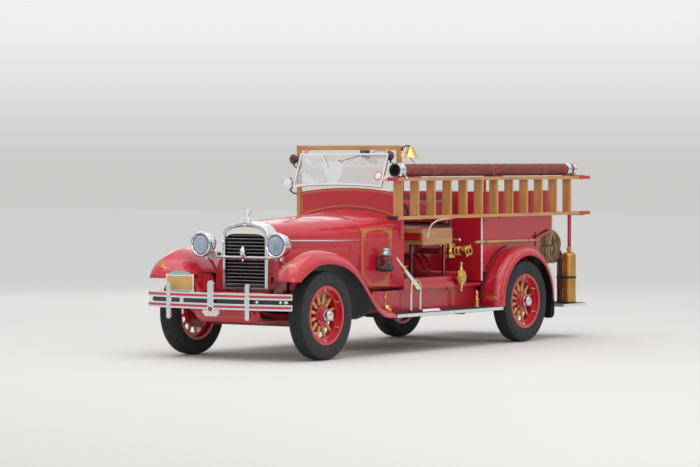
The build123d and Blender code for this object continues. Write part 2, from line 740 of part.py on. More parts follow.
def cowl():
    front = BODY_SECTIONS["hood_rear"]
    rear = BODY_SECTIONS["cowl_rear"]
    thick = 14
    top = loft([top_section(*front, thick), top_section(*rear, thick)], ruled=True)
    wall = side_panel((front[0], front[1], front[3]), (rear[0], rear[1], rear[3]), thick, LEDGE_BOTTOM)
    bulkhead = box(-front[1] + 8, front[1] - 8, COWL_FRONT + 2, COWL_FRONT + 14, FLOOR_TOP, front[3] + 4)
    dash_half = rear[1] - 10
    dash = box(-dash_half, dash_half, COWL_REAR - 22, COWL_REAR - 4, rear[3] - 40, rear[3] + 40)
    dash_rim = extrude(top_section(*rear, 90), 20)
    socket = box(POST_HALF_SPAN - POST_W / 2 + 1, rear[1], POST_FRONT - 3, COWL_REAR, rear[3] - 2, POST_FOOT)
    socket = fillet(socket.edges().filter_by(Axis.Y).sort_by(Axis.Z)[-1:], 5)
    return fuse([top, dash, dash_rim, bulkhead] + pair(wall) + pair(socket)) - column_rod(COLUMN_R + SEAT_GAP)


# Windshield

def windshield_frame():
    # two wooden posts on the cowl's sockets and a header with chamfered ends
    parts = []
    rear = POST_FRONT + POST_D
    for side in (-1, 1):
        x = side * POST_HALF_SPAN
        parts.append(box(x - POST_W / 2, x + POST_W / 2, POST_FRONT, rear, POST_FOOT + SEAT_GAP,
                         HEADER_TOP - HEADER_H))
    half = POST_HALF_SPAN + POST_W / 2 + 2
    header = box(-half, half, POST_FRONT - 2, rear + 2, HEADER_TOP - HEADER_H, HEADER_TOP)
    header = chamfer(header.edges().filter_by(Axis.Y), 7)
    return fuse(parts + [header])


def sash_plane():
    # local x is +X and local y runs up the swung-out sash; its hinge line is at the top
    lean = math.radians(SASH_TILT)
    top = Vector(0, aft(SASH_A), SASH_TOP)
    out = Vector(0, -math.cos(lean), math.sin(lean))
    return Plane(top, x_dir=(1, 0, 0), z_dir=out)


def sash_outline(inset):
    half = SASH_HALF_WIDTH - inset
    low = -SASH_HEIGHT + inset
    return Curve() + [
        Polyline((-half, low), (-half, -inset), (half, -inset), (half, low)),
        ThreePointArc((half, low), (0, low + 22), (-half, low)),
    ]


def windshield_sash():
    plane = sash_plane()
    ring = make_face(sash_outline(0)) - make_face(sash_outline(2 * SASH_TUBE_R))
    ring = extrude(plane * ring, SASH_TUBE_R, both=True)
    hinges = []
    for side in (-1, 1):
        x = side * (SASH_HALF_WIDTH - 40)
        low = SASH_TOP - 14
        high = HEADER_TOP - HEADER_H + 12
        rear = POST_FRONT - 2 - SEAT_GAP
        hinges.append(side_slab([(SASH_A - 8, low), (SASH_A + 6, low), (rear, high - 16), (rear, high + 12),
                                 (rear - 6, high + 12), (rear - 6, high)], x - 15, x + 15))
    return fuse([ring] + hinges)


def windshield_glass():
    inset = 2 * SASH_TUBE_R + SEAT_GAP
    return extrude(sash_plane() * make_face(sash_outline(inset)), GLASS_T / 2, both=True)


def sign_board():
    # an arched board between the posts, cut to the cowl's crown below
    half = POST_HALF_SPAN - POST_W / 2 - SEAT_GAP
    low = POST_FOOT - 60
    outline = Curve() + [
        ThreePointArc((-half, SIGN_TOP_END), (0, SIGN_TOP_MID), (half, SIGN_TOP_END)),
        Polyline((half, SIGN_TOP_END), (half, low), (-half, low), (-half, SIGN_TOP_END)),
    ]
    plane = Plane((0, aft(POST_FRONT + 5 + SIGN_T), 0), x_dir=(1, 0, 0), z_dir=(0, -1, 0))
    board = extrude(plane * make_face(outline), SIGN_T)
    front = filled_section(*BODY_SECTIONS["hood_rear"], 2)
    rear = filled_section(*BODY_SECTIONS["cowl_rear"], 2)
    return board - loft([front, rear], ruled=True)


# Fenders and running boards

# Front fender: distance aft, crown height, slope in degrees, inner reach, inner drop, outer drop
FRONT_FENDER = [
    (-545, 705, 86, 165, 120, 100),
    (-528, 765, 66, 195, 150, 118),
    (-485, 825, 48, 215, 160, 130),
    (-374, 899, 30, 240, 185, 138),
    (-226, 947, 13, 265, 200, 124),
    (-40, 962, 0, 285, 215, 119),
    (144, 945, -12, 280, 205, 118),
    (350, 885, -28, 262, 190, 120),
    (474, 808, -38, 250, 180, 118),
    (571, 705, -44, 240, 170, 102),
    (696, 573, -44, 235, 165, 100),
    (812, 468, -36, 232, 150, 98),
    (943, 400, -20, 230, 90, 70),
    (BOARD_FRONT - SEAT_GAP, 380, 0, 228, 50, 46),
]


def fender_section(a, crown, slope, inner_reach, inner_drop, outer_drop):
    outer_reach = FENDER_HALF_WIDTH - FRONT_CROWN_X
    tilt = math.radians(slope)
    plane = Plane((FRONT_CROWN_X, aft(a), crown), x_dir=(1, 0, 0),
                  z_dir=(0, -math.cos(tilt), -math.sin(tilt)))

    def skin(shrink):
        inner = (-inner_reach + 0.3 * shrink, -inner_drop)
        knee = (-0.45 * inner_reach, -0.26 * inner_drop - shrink)
        crown_point = (0, -shrink)
        bend = (0.78 * outer_reach - 0.7 * shrink, -0.36 * outer_drop - 0.7 * shrink)
        lip = (outer_reach - shrink, -outer_drop)
        return inner, knee, crown_point, bend, lip
    outer = skin(0)
    inner = skin(FENDER_T)
    wire = Curve() + [
        ThreePointArc(outer[0], outer[1], outer[2]),
        ThreePointArc(outer[2], outer[3], outer[4]),
        Line(outer[4], inner[4]),
        ThreePointArc(inner[4], inner[3], inner[2]),
        ThreePointArc(inner[2], inner[1], inner[0]),
        Line(inner[0], outer[0]),
    ]
    return plane * make_face(wire)


def fender_iron(row):
    # flat bar from the rail's outer face up to the fender's inner edge
    a, crown, slope, reach, drop, _ = row
    tilt = math.radians(slope)
    edge_a = a + drop * math.sin(tilt)
    edge_z = crown - drop * math.cos(tilt)
    edge_x = FRONT_CROWN_X - reach
    low = HORN_TIP_BOTTOM + 20
    rise = box(RAIL_HALF_WIDTH, RAIL_HALF_WIDTH + 8, edge_a - 20, edge_a + 20, low, edge_z)
    tab = box(RAIL_HALF_WIDTH, edge_x + 14, edge_a - 20, edge_a + 20, edge_z - 6, edge_z + 1)
    return fuse([rise, tab])


def front_fender():
    sections = [fender_section(*row) for row in FRONT_FENDER]
    irons = [fender_iron(FRONT_FENDER[i]) for i in (3, 5)]
    return fuse([loft(sections)] + irons)


def rear_fender():
    lip_r = REAR_FENDER_R - 92
    inner_x = REAR_FENDER_IN
    crown_x = FENDER_HALF_WIDTH - 80
    lip_x = FENDER_HALF_WIDTH

    def skin(shrink):
        return [
            (inner_x, REAR_FENDER_R - 22 - shrink),
            (crown_x, REAR_FENDER_R - shrink),
            (lip_x - 24 - 0.7 * shrink, REAR_FENDER_R - 28 - 0.7 * shrink),
            (lip_x - shrink, lip_r),
        ]
    outer = skin(0)
    inner = skin(FENDER_T)
    outline = Curve() + [
        Line(outer[0], outer[1]),
        ThreePointArc(outer[1], outer[2], outer[3]),
        Line(outer[3], inner[3]),
        ThreePointArc(inner[3], inner[2], inner[1]),
        Line(inner[1], inner[0]),
        Line(inner[0], outer[0]),
    ]
    face = make_face(outline)
    arch = Pos(0, aft(WHEELBASE), AXLE_Z) * revolve(face, Axis.X, 360)
    upper = box(inner_x - 5, lip_x + 5, WHEELBASE - 700, WHEELBASE + 700, AXLE_Z, AXLE_Z + 700)
    down = Plane((0, aft(WHEELBASE), AXLE_Z), x_dir=(1, 0, 0), z_dir=(0, 0, -1))
    front = extrude(down * face, AXLE_Z - BOARD_TOP - SEAT_GAP)
    rear = extrude(down * mirror(face, about=Plane.XZ), AXLE_Z - FLAP_BOTTOM)
    rear_a = WHEELBASE + REAR_FENDER_R
    flap = box(inner_x + 26, lip_x - 24, rear_a - 60, rear_a + 10, FLAP_BOTTOM, AXLE_Z)
    flap = fillet(flap.edges().filter_by(Axis.Y).sort_by(Axis.Z)[:2], 70)
    return fuse([arch & upper, front, rear & flap])


def running_board():
    rear = WHEELBASE - REAR_FENDER_R + 60
    board = box(BOARD_IN, FENDER_HALF_WIDTH, BOARD_FRONT, rear, BOARD_TOP - BOARD_T, BOARD_TOP)
    board = fillet(board.edges().filter_by(Axis.Y).sort_by(Axis.X)[-2:], 8)
    valance = side_slab([(BOARD_FRONT, BOARD_TOP - 4), (BOARD_FRONT, VALANCE_TOP), (BODY_FRONT, VALANCE_TOP),
                         (BODY_FRONT, VALANCE_STEP), (VALANCE_REAR, VALANCE_STEP),
                         (VALANCE_REAR, BOARD_TOP - 4)], VALANCE_X, VALANCE_X + 4)
    brackets = [box(RAIL_HALF_WIDTH, VALANCE_X + 2, a - 20, a + 20, RAIL_BOTTOM + 10, RAIL_TOP - 100)
                for a in (1200, 1900, WHEELBASE - 702)]
    return fuse([board, valance] + brackets)


# Cab

def cab_floor():
    half = BODY_HALF_WIDTH - 20
    low = FLOOR_TOP - FLOOR_T
    front = COWL_FRONT + 220
    rear = SEAT_FRONT + 60
    strip_rear = SEAT_FRONT + 420
    parts = [
        box(-half, half, COWL_REAR + SEAT_GAP, rear, low, FLOOR_TOP),
        box(-480, 480, front + 60, COWL_REAR + 5, low, FLOOR_TOP),
        box(-380, 380, front - 10, front + 65, low, FLOOR_TOP),
        side_slab([(front, low), (front - 170, 800), (front - 154, 816), (front + 20, FLOOR_TOP)], -380, 380),
    ]
    deck = SEAT_BOTTOM - 14 - SEAT_GAP
    bar = STAND_BAR
    stand_front = SEAT_FRONT + 20
    stand_rear = SEAT_FRONT + 380
    for side in (-1, 1):
        x = side * STAND_X
        parts.append(box(x - bar / 2, x + bar / 2, stand_front, stand_front + bar, FLOOR_TOP, deck))
        parts.append(box(side * 480, side * (480 + bar), stand_rear, stand_rear + bar, FLOOR_TOP, deck))
        parts.append(box(x, side * (480 + bar), stand_front, stand_rear + bar, deck - 8, deck))
        parts.append(box(side * 470, side * half, rear - 5, strip_rear, low, FLOOR_TOP))
        parts.append(box(side * (RAIL_HALF_WIDTH - 50), side * RAIL_HALF_WIDTH, front, rear, RAIL_TOP, low))
        parts.append(box(side * (RAIL_HALF_WIDTH - 50), side * half, strip_rear - 40, strip_rear,
                         RAIL_TOP, low))
        parts.append(sill(side, strip_rear))
    parts.append(box(-STAND_X, STAND_X, stand_front, stand_front + bar, deck - 130, deck - 108))
    return fuse(parts) - column_rod(COLUMN_R + PASS_GAP)


def sill(side, strip_rear):
    # bright rail along the body's lower edge, hung from the floor's side strip
    outer = BODY_HALF_WIDTH - 2
    front = COWL_REAR + SEAT_GAP
    rear = BODY_FRONT - SEAT_GAP
    rail = side_slab([(front, SILL_BOTTOM), (front, SILL_TOP), (strip_rear, SILL_TOP),
                      (strip_rear, SILL_LOW_TOP), (rear, SILL_LOW_TOP), (rear, SILL_BOTTOM)],
                     outer - 50, outer)
    web = box(outer - 42, outer - 22, front, strip_rear, SILL_TOP - 2, FLOOR_TOP - FLOOR_T + 2)
    whole = fuse([rail, web])
    return whole if side > 0 else mirrored(whole)


def seat_frame():
    half = SEAT_HALF_WIDTH
    rear = SEAT_FRONT + SEAT_DEPTH
    t = SEAT_BOARD_T
    boards = [box(side * half, side * (half - t), SEAT_FRONT, rear, SEAT_BOTTOM, SEAT_TOP)
              for side in (-1, 1)]
    front = box(-half, half, SEAT_FRONT, SEAT_FRONT + t, SEAT_BOTTOM, SEAT_BOTTOM + 26)
    deck = box(-half, half, SEAT_FRONT, rear, SEAT_BOTTOM - 14, SEAT_BOTTOM)
    back_half = half - t - 12
    back = side_slab([(rear - t, SEAT_BOTTOM), (rear, SEAT_BOTTOM), (rear + BACK_LEAN, BACK_TOP),
                      (rear + BACK_LEAN - t, BACK_TOP)], -back_half, back_half)
    rear_rail = box(-half, half, rear - t, rear, SEAT_BOTTOM, SEAT_BOTTOM + 26)
    return fuse(boards + [front, deck, back, rear_rail])


def seat_cushions():
    half = SEAT_HALF_WIDTH - SEAT_BOARD_T - 1
    rear = SEAT_FRONT + SEAT_DEPTH - SEAT_BOARD_T
    top = SEAT_TOP + 14
    seat = box(-half, half, SEAT_FRONT + 2, rear - 1, SEAT_BOTTOM + 26 + SEAT_GAP, top)
    slope = BACK_LEAN / (BACK_TOP - SEAT_BOTTOM)
    low_a = rear + slope * (top + 6 - SEAT_BOTTOM) - SEAT_GAP
    high_a = rear + slope * (BACK_TOP - 10 - SEAT_BOTTOM) - SEAT_GAP
    back = side_slab([(low_a - 86, top + 6), (low_a, top + 6), (high_a, BACK_TOP - 10),
                      (high_a - 66, BACK_TOP - 10)], -SEAT_HALF_WIDTH, SEAT_HALF_WIDTH)
    return [fillet(seat.edges().filter_by(Axis.X), 24), fillet(back.edges().filter_by(Axis.X), 24)]


def column_axis():
    lean = math.radians(COLUMN_ANGLE)
    top = Vector(STEERING_X, aft(STEERING_A), STEERING_Z)
    down = Vector(0, -math.cos(lean), -math.sin(lean))
    return top, down


def column_rod(radius):
    top, down = column_axis()
    return rod_between(radius, top + down * (STEERING_HUB_H / 2 + SEAT_GAP), top + down * COLUMN_LENGTH)


def steering_column():
    top, down = column_axis()
    gear = top + down * COLUMN_LENGTH
    gear_a = gear.Y - FRONT_AXLE_Y
    flange_x = RAIL_HALF_WIDTH - RAIL_FLANGE
    case = box(STEERING_X - 40, flange_x - 4, gear_a - 50, gear_a + 50, gear.Z - 55, gear.Z + 70)
    plate = box(flange_x - 6, RAIL_HALF_WIDTH - RAIL_T, gear_a - 40, gear_a + 40, gear.Z - 50, gear.Z + 16)
    return fuse([column_rod(COLUMN_R), case, plate])


def steering_wheel():
    top, down = column_axis()
    plane = Plane(top, x_dir=(1, 0, 0), z_dir=-down)
    ring = plane * Torus(STEERING_WHEEL_R - 13, 13)
    hub = extrude(plane * Circle(34), STEERING_HUB_H / 2, both=True)
    arms = [plane * Rot(0, 0, 45 + 90 * i) * Pos((STEERING_WHEEL_R - 13) / 2, 0, 0) *
            Box(STEERING_WHEEL_R - 13, 22, 9) for i in range(4)]
    return fuse([ring, hub] + arms)


# Hose body

def hose_body():
    w = BODY_HALF_WIDTH
    t = BODY_WALL
    outer = side_slab([(BODY_FRONT, BODY_BOTTOM), (BODY_FRONT, BODY_TOP), (BODY_REAR, BODY_TOP),
                       (BODY_REAR, BED_FLOOR), (BODY_STEP, BED_FLOOR - 60), (BODY_STEP, BODY_BOTTOM)], -w, w)
    bed = box(-w + t, w - t, BODY_FRONT + t, BODY_REAR + 5, BED_FLOOR, BODY_TOP + 5)
    under = box(-w + t, w - t, BODY_FRONT + t, BODY_STEP - t, BODY_BOTTOM - 5, BED_FLOOR - t)
    rear_under = box(-w + t, w - t, BODY_STEP, BODY_REAR + 5, BED_FLOOR - 80, BED_FLOOR - t)
    notches = [box(side * (w - t - 1), side * (w + 1), BODY_FRONT + 30, BODY_FRONT + 190,
                   BODY_BOTTOM - 5, NOTCH_TOP) for side in (-1, 1)]
    body = outer - bed - under - rear_under - fuse(notches)
    sills = [box(side * RAIL_HALF_WIDTH, side * (RAIL_HALF_WIDTH - 50), BODY_FRONT + t, BODY_STEP - t,
                 RAIL_TOP, BED_FLOOR - t) for side in (-1, 1)]
    bearers = [box(-w + t, w - t, a - 20, a + 20, RAIL_TOP, RAIL_TOP + 40)
               for a in (BODY_FRONT + 240, BODY_STEP - 70)]
    tailgate = box(-w + t, w - t, BODY_REAR - 20, BODY_REAR, BED_FLOOR - t, BED_FLOOR + 120)
    return fuse([body] + sills + bearers + [tailgate])


def tailboard():
    w = TAIL_HALF_WIDTH
    board = box(-w, w, TAIL_FRONT, TAIL_REAR, TAIL_TOP - TAIL_T, TAIL_TOP)
    board = fillet(board.edges().filter_by(Axis.Z).sort_by(Axis.Y)[-2:], 60)
    riser = TAIL_FRONT + 120
    irons = [box(side * 300, side * 340, riser - 10, TAIL_REAR - 40, TAIL_TOP - TAIL_T - 24,
                 TAIL_TOP - TAIL_T) for side in (-1, 1)]
    risers = [box(side * 330, side * (RAIL_HALF_WIDTH - RAIL_T), riser, riser + 60, TAIL_TOP, RAIL_BOTTOM)
              for side in (-1, 1)]
    return fuse([board] + irons + risers)


# Ladder and its brackets

def ladder():
    inner = LADDER_OUT - LADDER_BOARD_W
    rails = [box(inner, LADDER_OUT, LADDER_FRONT, LADDER_REAR, z, z + LADDER_RAIL_T)
             for z in (LADDER_BOTTOM, LADDER_TOP - LADDER_RAIL_T)]
    treads = [box(inner + 4, LADDER_OUT - 6, TREAD_FIRST + i * TREAD_PITCH - TREAD_T / 2,
                  TREAD_FIRST + i * TREAD_PITCH + TREAD_T / 2,
                  LADDER_BOTTOM + LADDER_RAIL_T - 4, LADDER_TOP - LADDER_RAIL_T + 4) for i in range(TREADS)]
    return fuse(rails + treads)


# Ladder supports: distance aft, x of the strap, x where its top hook meets what carries it
SUPPORTS = [
    (POST_FRONT + POST_D / 2, BODY_SECTIONS["cowl_rear"][1] + SEAT_GAP, POST_HALF_SPAN + POST_W / 2),
    (BODY_FRONT + 60, BODY_HALF_WIDTH, BODY_HALF_WIDTH),
    (RACK_POST_A, RACK_POST_X, RACK_POST_X),
]


def ladder_brackets():
    # flat arms below the lower rail, and a strap that reaches up to the top rail
    parts = []
    top = LADDER_TOP + SEAT_GAP
    for a, x, hook_x in SUPPORTS:
        half = 18
        arm_top = LADDER_BOTTOM - SEAT_GAP
        arm = box(x, LADDER_OUT, a - half, a + half, arm_top - BRACKET_T, arm_top)
        strap = box(x, x + BRACKET_T, a - half, a + half, LADDER_BOTTOM - 60, top + BRACKET_T)
        hook = box(hook_x, LADDER_OUT, a - half, a + half, top, top + BRACKET_T)
        parts.append(fuse([arm, strap, hook]))
    post = rod_z(RACK_POST_R, RACK_POST_X, RACK_POST_A, TAIL_TOP, LADDER_TOP)
    parts[2] = fuse([parts[2], post])
    return parts


def suction_hose():
    z = LADDER_TOP + SEAT_GAP + BRACKET_T + HOSE_R + SEAT_GAP
    hose = rod_y(HOSE_R, HOSE_X, HOSE_FRONT, HOSE_REAR, z)
    front = HOSE_FRONT - COUPLING_L
    sleeve = rod_y(COUPLING_R, HOSE_X, front + 20, HOSE_FRONT, z)
    ring = rod_y(COUPLING_RING_R, HOSE_X, front, front + 42, z)
    mouth = rod_y(COUPLING_RING_R - 9, HOSE_X, front - 1, front + COUPLING_MOUTH, z)
    bore = rod_y(SUCTION_BORE_R, HOSE_X, front, front + COUPLING_MOUTH + SUCTION_BORE_L, z)
    male = rod_y(COUPLING_R - 2, HOSE_X, HOSE_REAR, HOSE_REAR + 60, z)
    return fuse([hose, sleeve, ring, male]) - mouth - bore


# Pump

def pump_piping():
    casing = rod_y(PUMP_R, 0, PUMP_A - 150, PUMP_A + 150, PUMP_Z)
    flanges = [rod_y(PUMP_R + 14, 0, PUMP_A + d - 10, PUMP_A + d + 10, PUMP_Z) for d in (-120, 0, 120)]
    suction = rod_x(SUCTION_R, -SUCTION_OUT, SUCTION_OUT, SUCTION_A, SUCTION_Z)
    collars = [rod_x(SUCTION_R + 14, side * 260, side * 290, SUCTION_A, SUCTION_Z) for side in (-1, 1)]
    discharge = rod_x(DISCHARGE_R, 60, 350, DISCHARGE_A, DISCHARGE_Z)
    riser = rod_z(DISCHARGE_R + 6, 60, DISCHARGE_A, PUMP_Z, DISCHARGE_Z + DISCHARGE_R + 10)
    flange = rod_x(62, 336, 352, DISCHARGE_A, DISCHARGE_Z)
    feet = box(-RAIL_HALF_WIDTH + RAIL_T, RAIL_HALF_WIDTH - RAIL_T, PUMP_A - 60, PUMP_A + 60, 549, 574)
    piping = fuse([casing, suction, discharge, riser, flange, feet] + flanges + collars)
    return piping - rod_x(SUCTION_BORE_R, -SUCTION_OUT - 1, -SUCTION_OUT + 80, SUCTION_A, SUCTION_Z)


def pump_fittings():
    x0 = 352 + SEAT_GAP
    flange = rod_x(62, x0, x0 + 16, DISCHARGE_A, DISCHARGE_Z)
    body = rod_z(46, 430, DISCHARGE_A, DISCHARGE_Z - 64, DISCHARGE_Z + 64)
    tube = rod_x(DISCHARGE_R, x0, OUTLET_OUT - 50, DISCHARGE_A, DISCHARGE_Z)
    bonnet = rod_z(24, 430, DISCHARGE_A, DISCHARGE_Z + 60, DISCHARGE_Z + 100)
    nut = extrude(RegularPolygon(52, 8), 34)
    nut = Pos(OUTLET_OUT - 64, aft(DISCHARGE_A), DISCHARGE_Z) * Rot(0, 90, 0) * nut
    nozzle = rod_x(38, OUTLET_OUT - 40, OUTLET_OUT, DISCHARGE_A, DISCHARGE_Z)
    lever = rod_x(7, 430, 540, DISCHARGE_A, DISCHARGE_Z + 104)
    ball = Pos(540, aft(DISCHARGE_A), DISCHARGE_Z + 104) * Sphere(15)
    valve = fuse([flange, body, tube, bonnet, nut, nozzle, lever, ball])
    valve = valve - rod_x(OUTLET_BORE_R, OUTLET_OUT - OUTLET_BORE_L, OUTLET_OUT + 1, DISCHARGE_A, DISCHARGE_Z)
    cap_x = SUCTION_OUT + SEAT_GAP
    cap = rod_x(66, cap_x, cap_x + 34, SUCTION_A, SUCTION_Z)
    dome = rod_x(48, cap_x + 34, cap_x + 44, SUCTION_A, SUCTION_Z)
    handles = rod_z(11, cap_x + 18, SUCTION_A, SUCTION_Z - 130, SUCTION_Z + 130)
    return [valve, fuse([cap, dome, handles])]


# Front end

def bumper_bar(z):
    # a bar bowed forward in the middle
    y_mid = aft(BUMPER_FACE)
    y_end = aft(BUMPER_FACE + BUMPER_BOW)
    half = BUMPER_HALF
    outline = Curve() + [
        ThreePointArc((-half, y_end), (0, y_mid), (half, y_end)),
        Line((half, y_end), (half, y_end + BUMPER_T)),
        ThreePointArc((half, y_end + BUMPER_T), (0, y_mid + BUMPER_T), (-half, y_end + BUMPER_T)),
        Line((-half, y_end + BUMPER_T), (-half, y_end)),
    ]
    low = z - BUMPER_BAR_H / 2
    return extrude(Plane((0, 0, low)) * make_face(outline), BUMPER_BAR_H)


# Clips: x, half width, bottom, top
BUMPER_CLIPS = [
    (-500, 24, 355, 680),
    (0, 34, 392, 703),
    (380, 24, 362, 682),
]


def bumper_clip(x, half, low, high, front):
    # upright strap with round ends
    outline = Curve() + [
        Line((x - half, low + half), (x - half, high - half)),
        ThreePointArc((x - half, high - half), (x, high), (x + half, high - half)),
        Line((x + half, high - half), (x + half, low + half)),
        ThreePointArc((x + half, low + half), (x, low), (x - half, low + half)),
    ]
    plane = Plane((0, aft(front + 18), 0), x_dir=(1, 0, 0), z_dir=(0, -1, 0))
    return extrude(plane * make_face(outline), 18)


def bumper():
    parts = [bumper_bar(UPPER_BAR_Z), bumper_bar(LOWER_BAR_Z)]
    for x, half, low, high in BUMPER_CLIPS:
        bow = BUMPER_BOW * (x / BUMPER_HALF) ** 2
        front = BUMPER_FACE + bow - BUMPER_CLIP_T
        parts.append(bumper_clip(x, half, low, high, front))
    badge_plate = [(-60, 392), (60, 392), (92, 420), (92, 448), (-92, 448), (-92, 420)]
    parts.append(front_slab(badge_plate, BUMPER_FACE - 8, BUMPER_FACE + 2))
    iron_x = RAIL_HALF_WIDTH - RAIL_FLANGE / 2
    for side in (-1, 1):
        bow = BUMPER_BOW * (iron_x / BUMPER_HALF) ** 2
        back = BUMPER_FACE + bow + BUMPER_T - 2
        x = side * iron_x
        parts.append(box(x - 20, x + 20, back, HORN_FRONT, HORN_TIP_BOTTOM + 8, HORN_TIP_BOTTOM + 48))
        parts.append(box(x - 20, x + 20, back, back + 14, LOWER_BAR_Z - 20, UPPER_BAR_Z + 20))
    return fuse(parts)


def headlamp():
    # an open bowl turned about the lamp's axis, with a rolled rim and a hollow reflector
    length = LAMP_DEPTH
    lip = LAMP_R - 16
    outline = Curve() + [
        Polyline((lip, 0), (LAMP_R, 8), (LAMP_R, 26), (LAMP_R - 8, 32)),
        ThreePointArc((LAMP_R - 8, 32), (LAMP_R - 34, 0.7 * length), (LAMP_TIP_R, length)),
        Polyline((LAMP_TIP_R, length), (0, length), (0, 0.6 * length), (LAMP_TIP_R, 0.6 * length)),
        ThreePointArc((LAMP_TIP_R, 0.6 * length), (0.66 * lip, 0.36 * length), (lip, 0)),
    ]
    bowl = revolve(make_face(outline), Axis.Y, 360)
    return Pos(LAMP_X, aft(LAMP_A), LAMP_Z) * bowl


def lamp_bar():
    bracket_a = RADIATOR_FRONT - LAMP_BAR_R - SEAT_GAP
    bar = rod_x(LAMP_BAR_R, -LAMP_X, LAMP_X, bracket_a, LAMP_BAR_Z)
    parts = [bar]
    for side in (-1, 1):
        x = side * LAMP_X
        parts.append(rod_z(16, x, bracket_a, LAMP_BAR_Z - 20, LAMP_Z - LAMP_R + 22))
    return fuse(parts)


def headlamps():
    return [fuse([headlamp(), mirrored(headlamp()), lamp_bar()])]


# Tanks on the tailboard

def tank(radius, x, a, height):
    low = TAIL_TOP + SEAT_GAP
    body = rod_z(radius, x, a, low, low + height)
    body = fillet(body.edges().sort_by(Axis.Z)[-1:], 0.6 * radius)
    foot = rod_z(radius + 4, x, a, low, low + 14)
    neck = rod_z(0.26 * radius, x, a, low + height - 2, low + height + 30)
    cap = rod_z(0.36 * radius, x, a, low + height + 18, low + height + 30)
    return fuse([body, foot, neck, cap])


def extinguisher():
    return [tank(*row) for row in TANKS]


def build():
    os.makedirs("parts", exist_ok=True)
    left = TRACK / 2
    for name, a in (("front", 0), ("rear", WHEELBASE)):
        tyre_left = tyre(left, a)
        wheel_left = wheel(left, a)
        save(f"tyre_{name}_left", tyre_left)
        save(f"tyre_{name}_right", mirrored(tyre_left))
        save(f"wheel_{name}_left", wheel_left)
        save(f"wheel_{name}_right", mirrored(wheel_left))
    knuckle_left = knuckle()
    save("knuckle_left", knuckle_left)
    save("knuckle_right", mirrored(knuckle_left))
    save("tie_rod", tie_rod())
    save("front_axle", front_axle())
    save("rear_axle", rear_axle())
    save("leaf_springs", *leaf_springs())
    save("frame_rails", frame_rails())
    save("front_panels", front_apron(), *hood_ledges())
    save("engine_block", engine_block())
    save("drive_line", drive_line())
    save("exhaust", exhaust())
    save("radiator_shell", radiator_shell())
    save("radiator_shutters", radiator_shutters())
    save("hood_hinge", hood_hinge())
    save("hood_left", hood_half())
    save("hood_right", mirrored(hood_half()))
    save("cowl", cowl())
    save("windshield_frame", windshield_frame())
    save("windshield_sash", windshield_sash())
    save("windshield_glass", windshield_glass())
    save("sign_board", sign_board())
    save("front_fenders", *pair(front_fender()))
    save("rear_fenders", *pair(rear_fender()))
    save("running_boards", *pair(running_board()))
    save("cab_floor", cab_floor())
    save("seat_frame", seat_frame())
    save("seat_cushions", *seat_cushions())
    save("steering_column", steering_column())
    save("steering_wheel", steering_wheel())
    save("hose_body", hose_body())
    save("tailboard", tailboard())
    save("ladder", ladder())
    save("ladder_brackets", *ladder_brackets())
    save("suction_hose", suction_hose())
    save("pump_piping", pump_piping())
    save("pump_fittings", *pump_fittings())
    save("bumper", bumper())
    save("headlamps", *headlamps())
    save("extinguisher", *extinguisher())


build()
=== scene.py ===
"""An open-cab light fire engine of the late 1920s, dressed around its fixed frame. Metres."""

import math

import bmesh
import bpy
from mathutils import Matrix, Vector
from mathutils.bvhtree import BVHTree


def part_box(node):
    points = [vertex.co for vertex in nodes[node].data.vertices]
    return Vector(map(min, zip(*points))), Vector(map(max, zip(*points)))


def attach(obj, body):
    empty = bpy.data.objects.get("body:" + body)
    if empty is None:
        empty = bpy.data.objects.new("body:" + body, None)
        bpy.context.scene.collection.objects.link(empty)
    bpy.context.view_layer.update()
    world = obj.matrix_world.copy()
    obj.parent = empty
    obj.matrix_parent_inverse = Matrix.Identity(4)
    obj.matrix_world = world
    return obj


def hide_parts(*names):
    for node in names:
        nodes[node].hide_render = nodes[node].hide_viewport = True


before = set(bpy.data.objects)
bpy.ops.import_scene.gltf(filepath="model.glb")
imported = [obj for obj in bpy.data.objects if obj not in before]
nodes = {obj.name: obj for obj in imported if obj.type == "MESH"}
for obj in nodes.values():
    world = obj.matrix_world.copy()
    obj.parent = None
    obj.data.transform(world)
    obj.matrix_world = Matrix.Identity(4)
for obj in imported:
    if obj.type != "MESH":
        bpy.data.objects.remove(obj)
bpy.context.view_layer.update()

# Places, read from the frame where it gives them
wheel_low, wheel_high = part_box("wheel_front_left")
AXLE_Y = (wheel_low[1] + wheel_high[1]) / 2
AXLE_Z = (wheel_low[2] + wheel_high[2]) / 2
rear_low, rear_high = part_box("wheel_rear_left")
WHEELBASE = (rear_low[1] + rear_high[1]) / 2 - AXLE_Y
TRACK_HALF = 0.711
SIDES = {"left": 1, "right": -1}
LAMP_X = 0.414
LAMP_Z = 1.003
LAMP_R = 0.112


def aft(distance):
    """The Y of a place that far behind the front axle."""
    return AXLE_Y + distance


def vec(x=0, y=0, z=0):
    return Vector((x, y, z))


def at(x, distance, z):
    """A place by its X, its distance behind the front axle and its height."""
    return vec(x, aft(distance), z)


def mm(*pairs):
    """Pairs of millimetres as pairs of metres."""
    return [(first / 1000, second / 1000) for first, second in pairs]


def turns(count, start=0.0):
    """Angles evenly round a circle."""
    return [start + 2 * math.pi * k / count for k in range(count)]


hose_low, hose_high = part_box("suction_hose")
HOSE_X = (hose_low[0] + hose_high[0]) / 2
HOSE_Z = (hose_low[2] + hose_high[2]) / 2
HOSE_R = 0.057
HOSE_ENDS = (aft(1.2101), aft(4.076))
BOARD_TOP = 0.36
HOOD_START, HOOD_END, HOOD_TAPER_END = -0.006, 1.024, 1.03
UP, AFT, FORE, LEFT = vec(z=1), vec(y=1), vec(y=-1), vec(x=1)


# Materials

def set_inputs(shader, values):
    for name, value in values.items():
        shader.inputs[name].default_value = value


def node(tree, kind, values):
    """A new shader node of that kind, with some inputs set."""
    made = tree.nodes.new("ShaderNode" + kind)
    set_inputs(made, values)
    return made


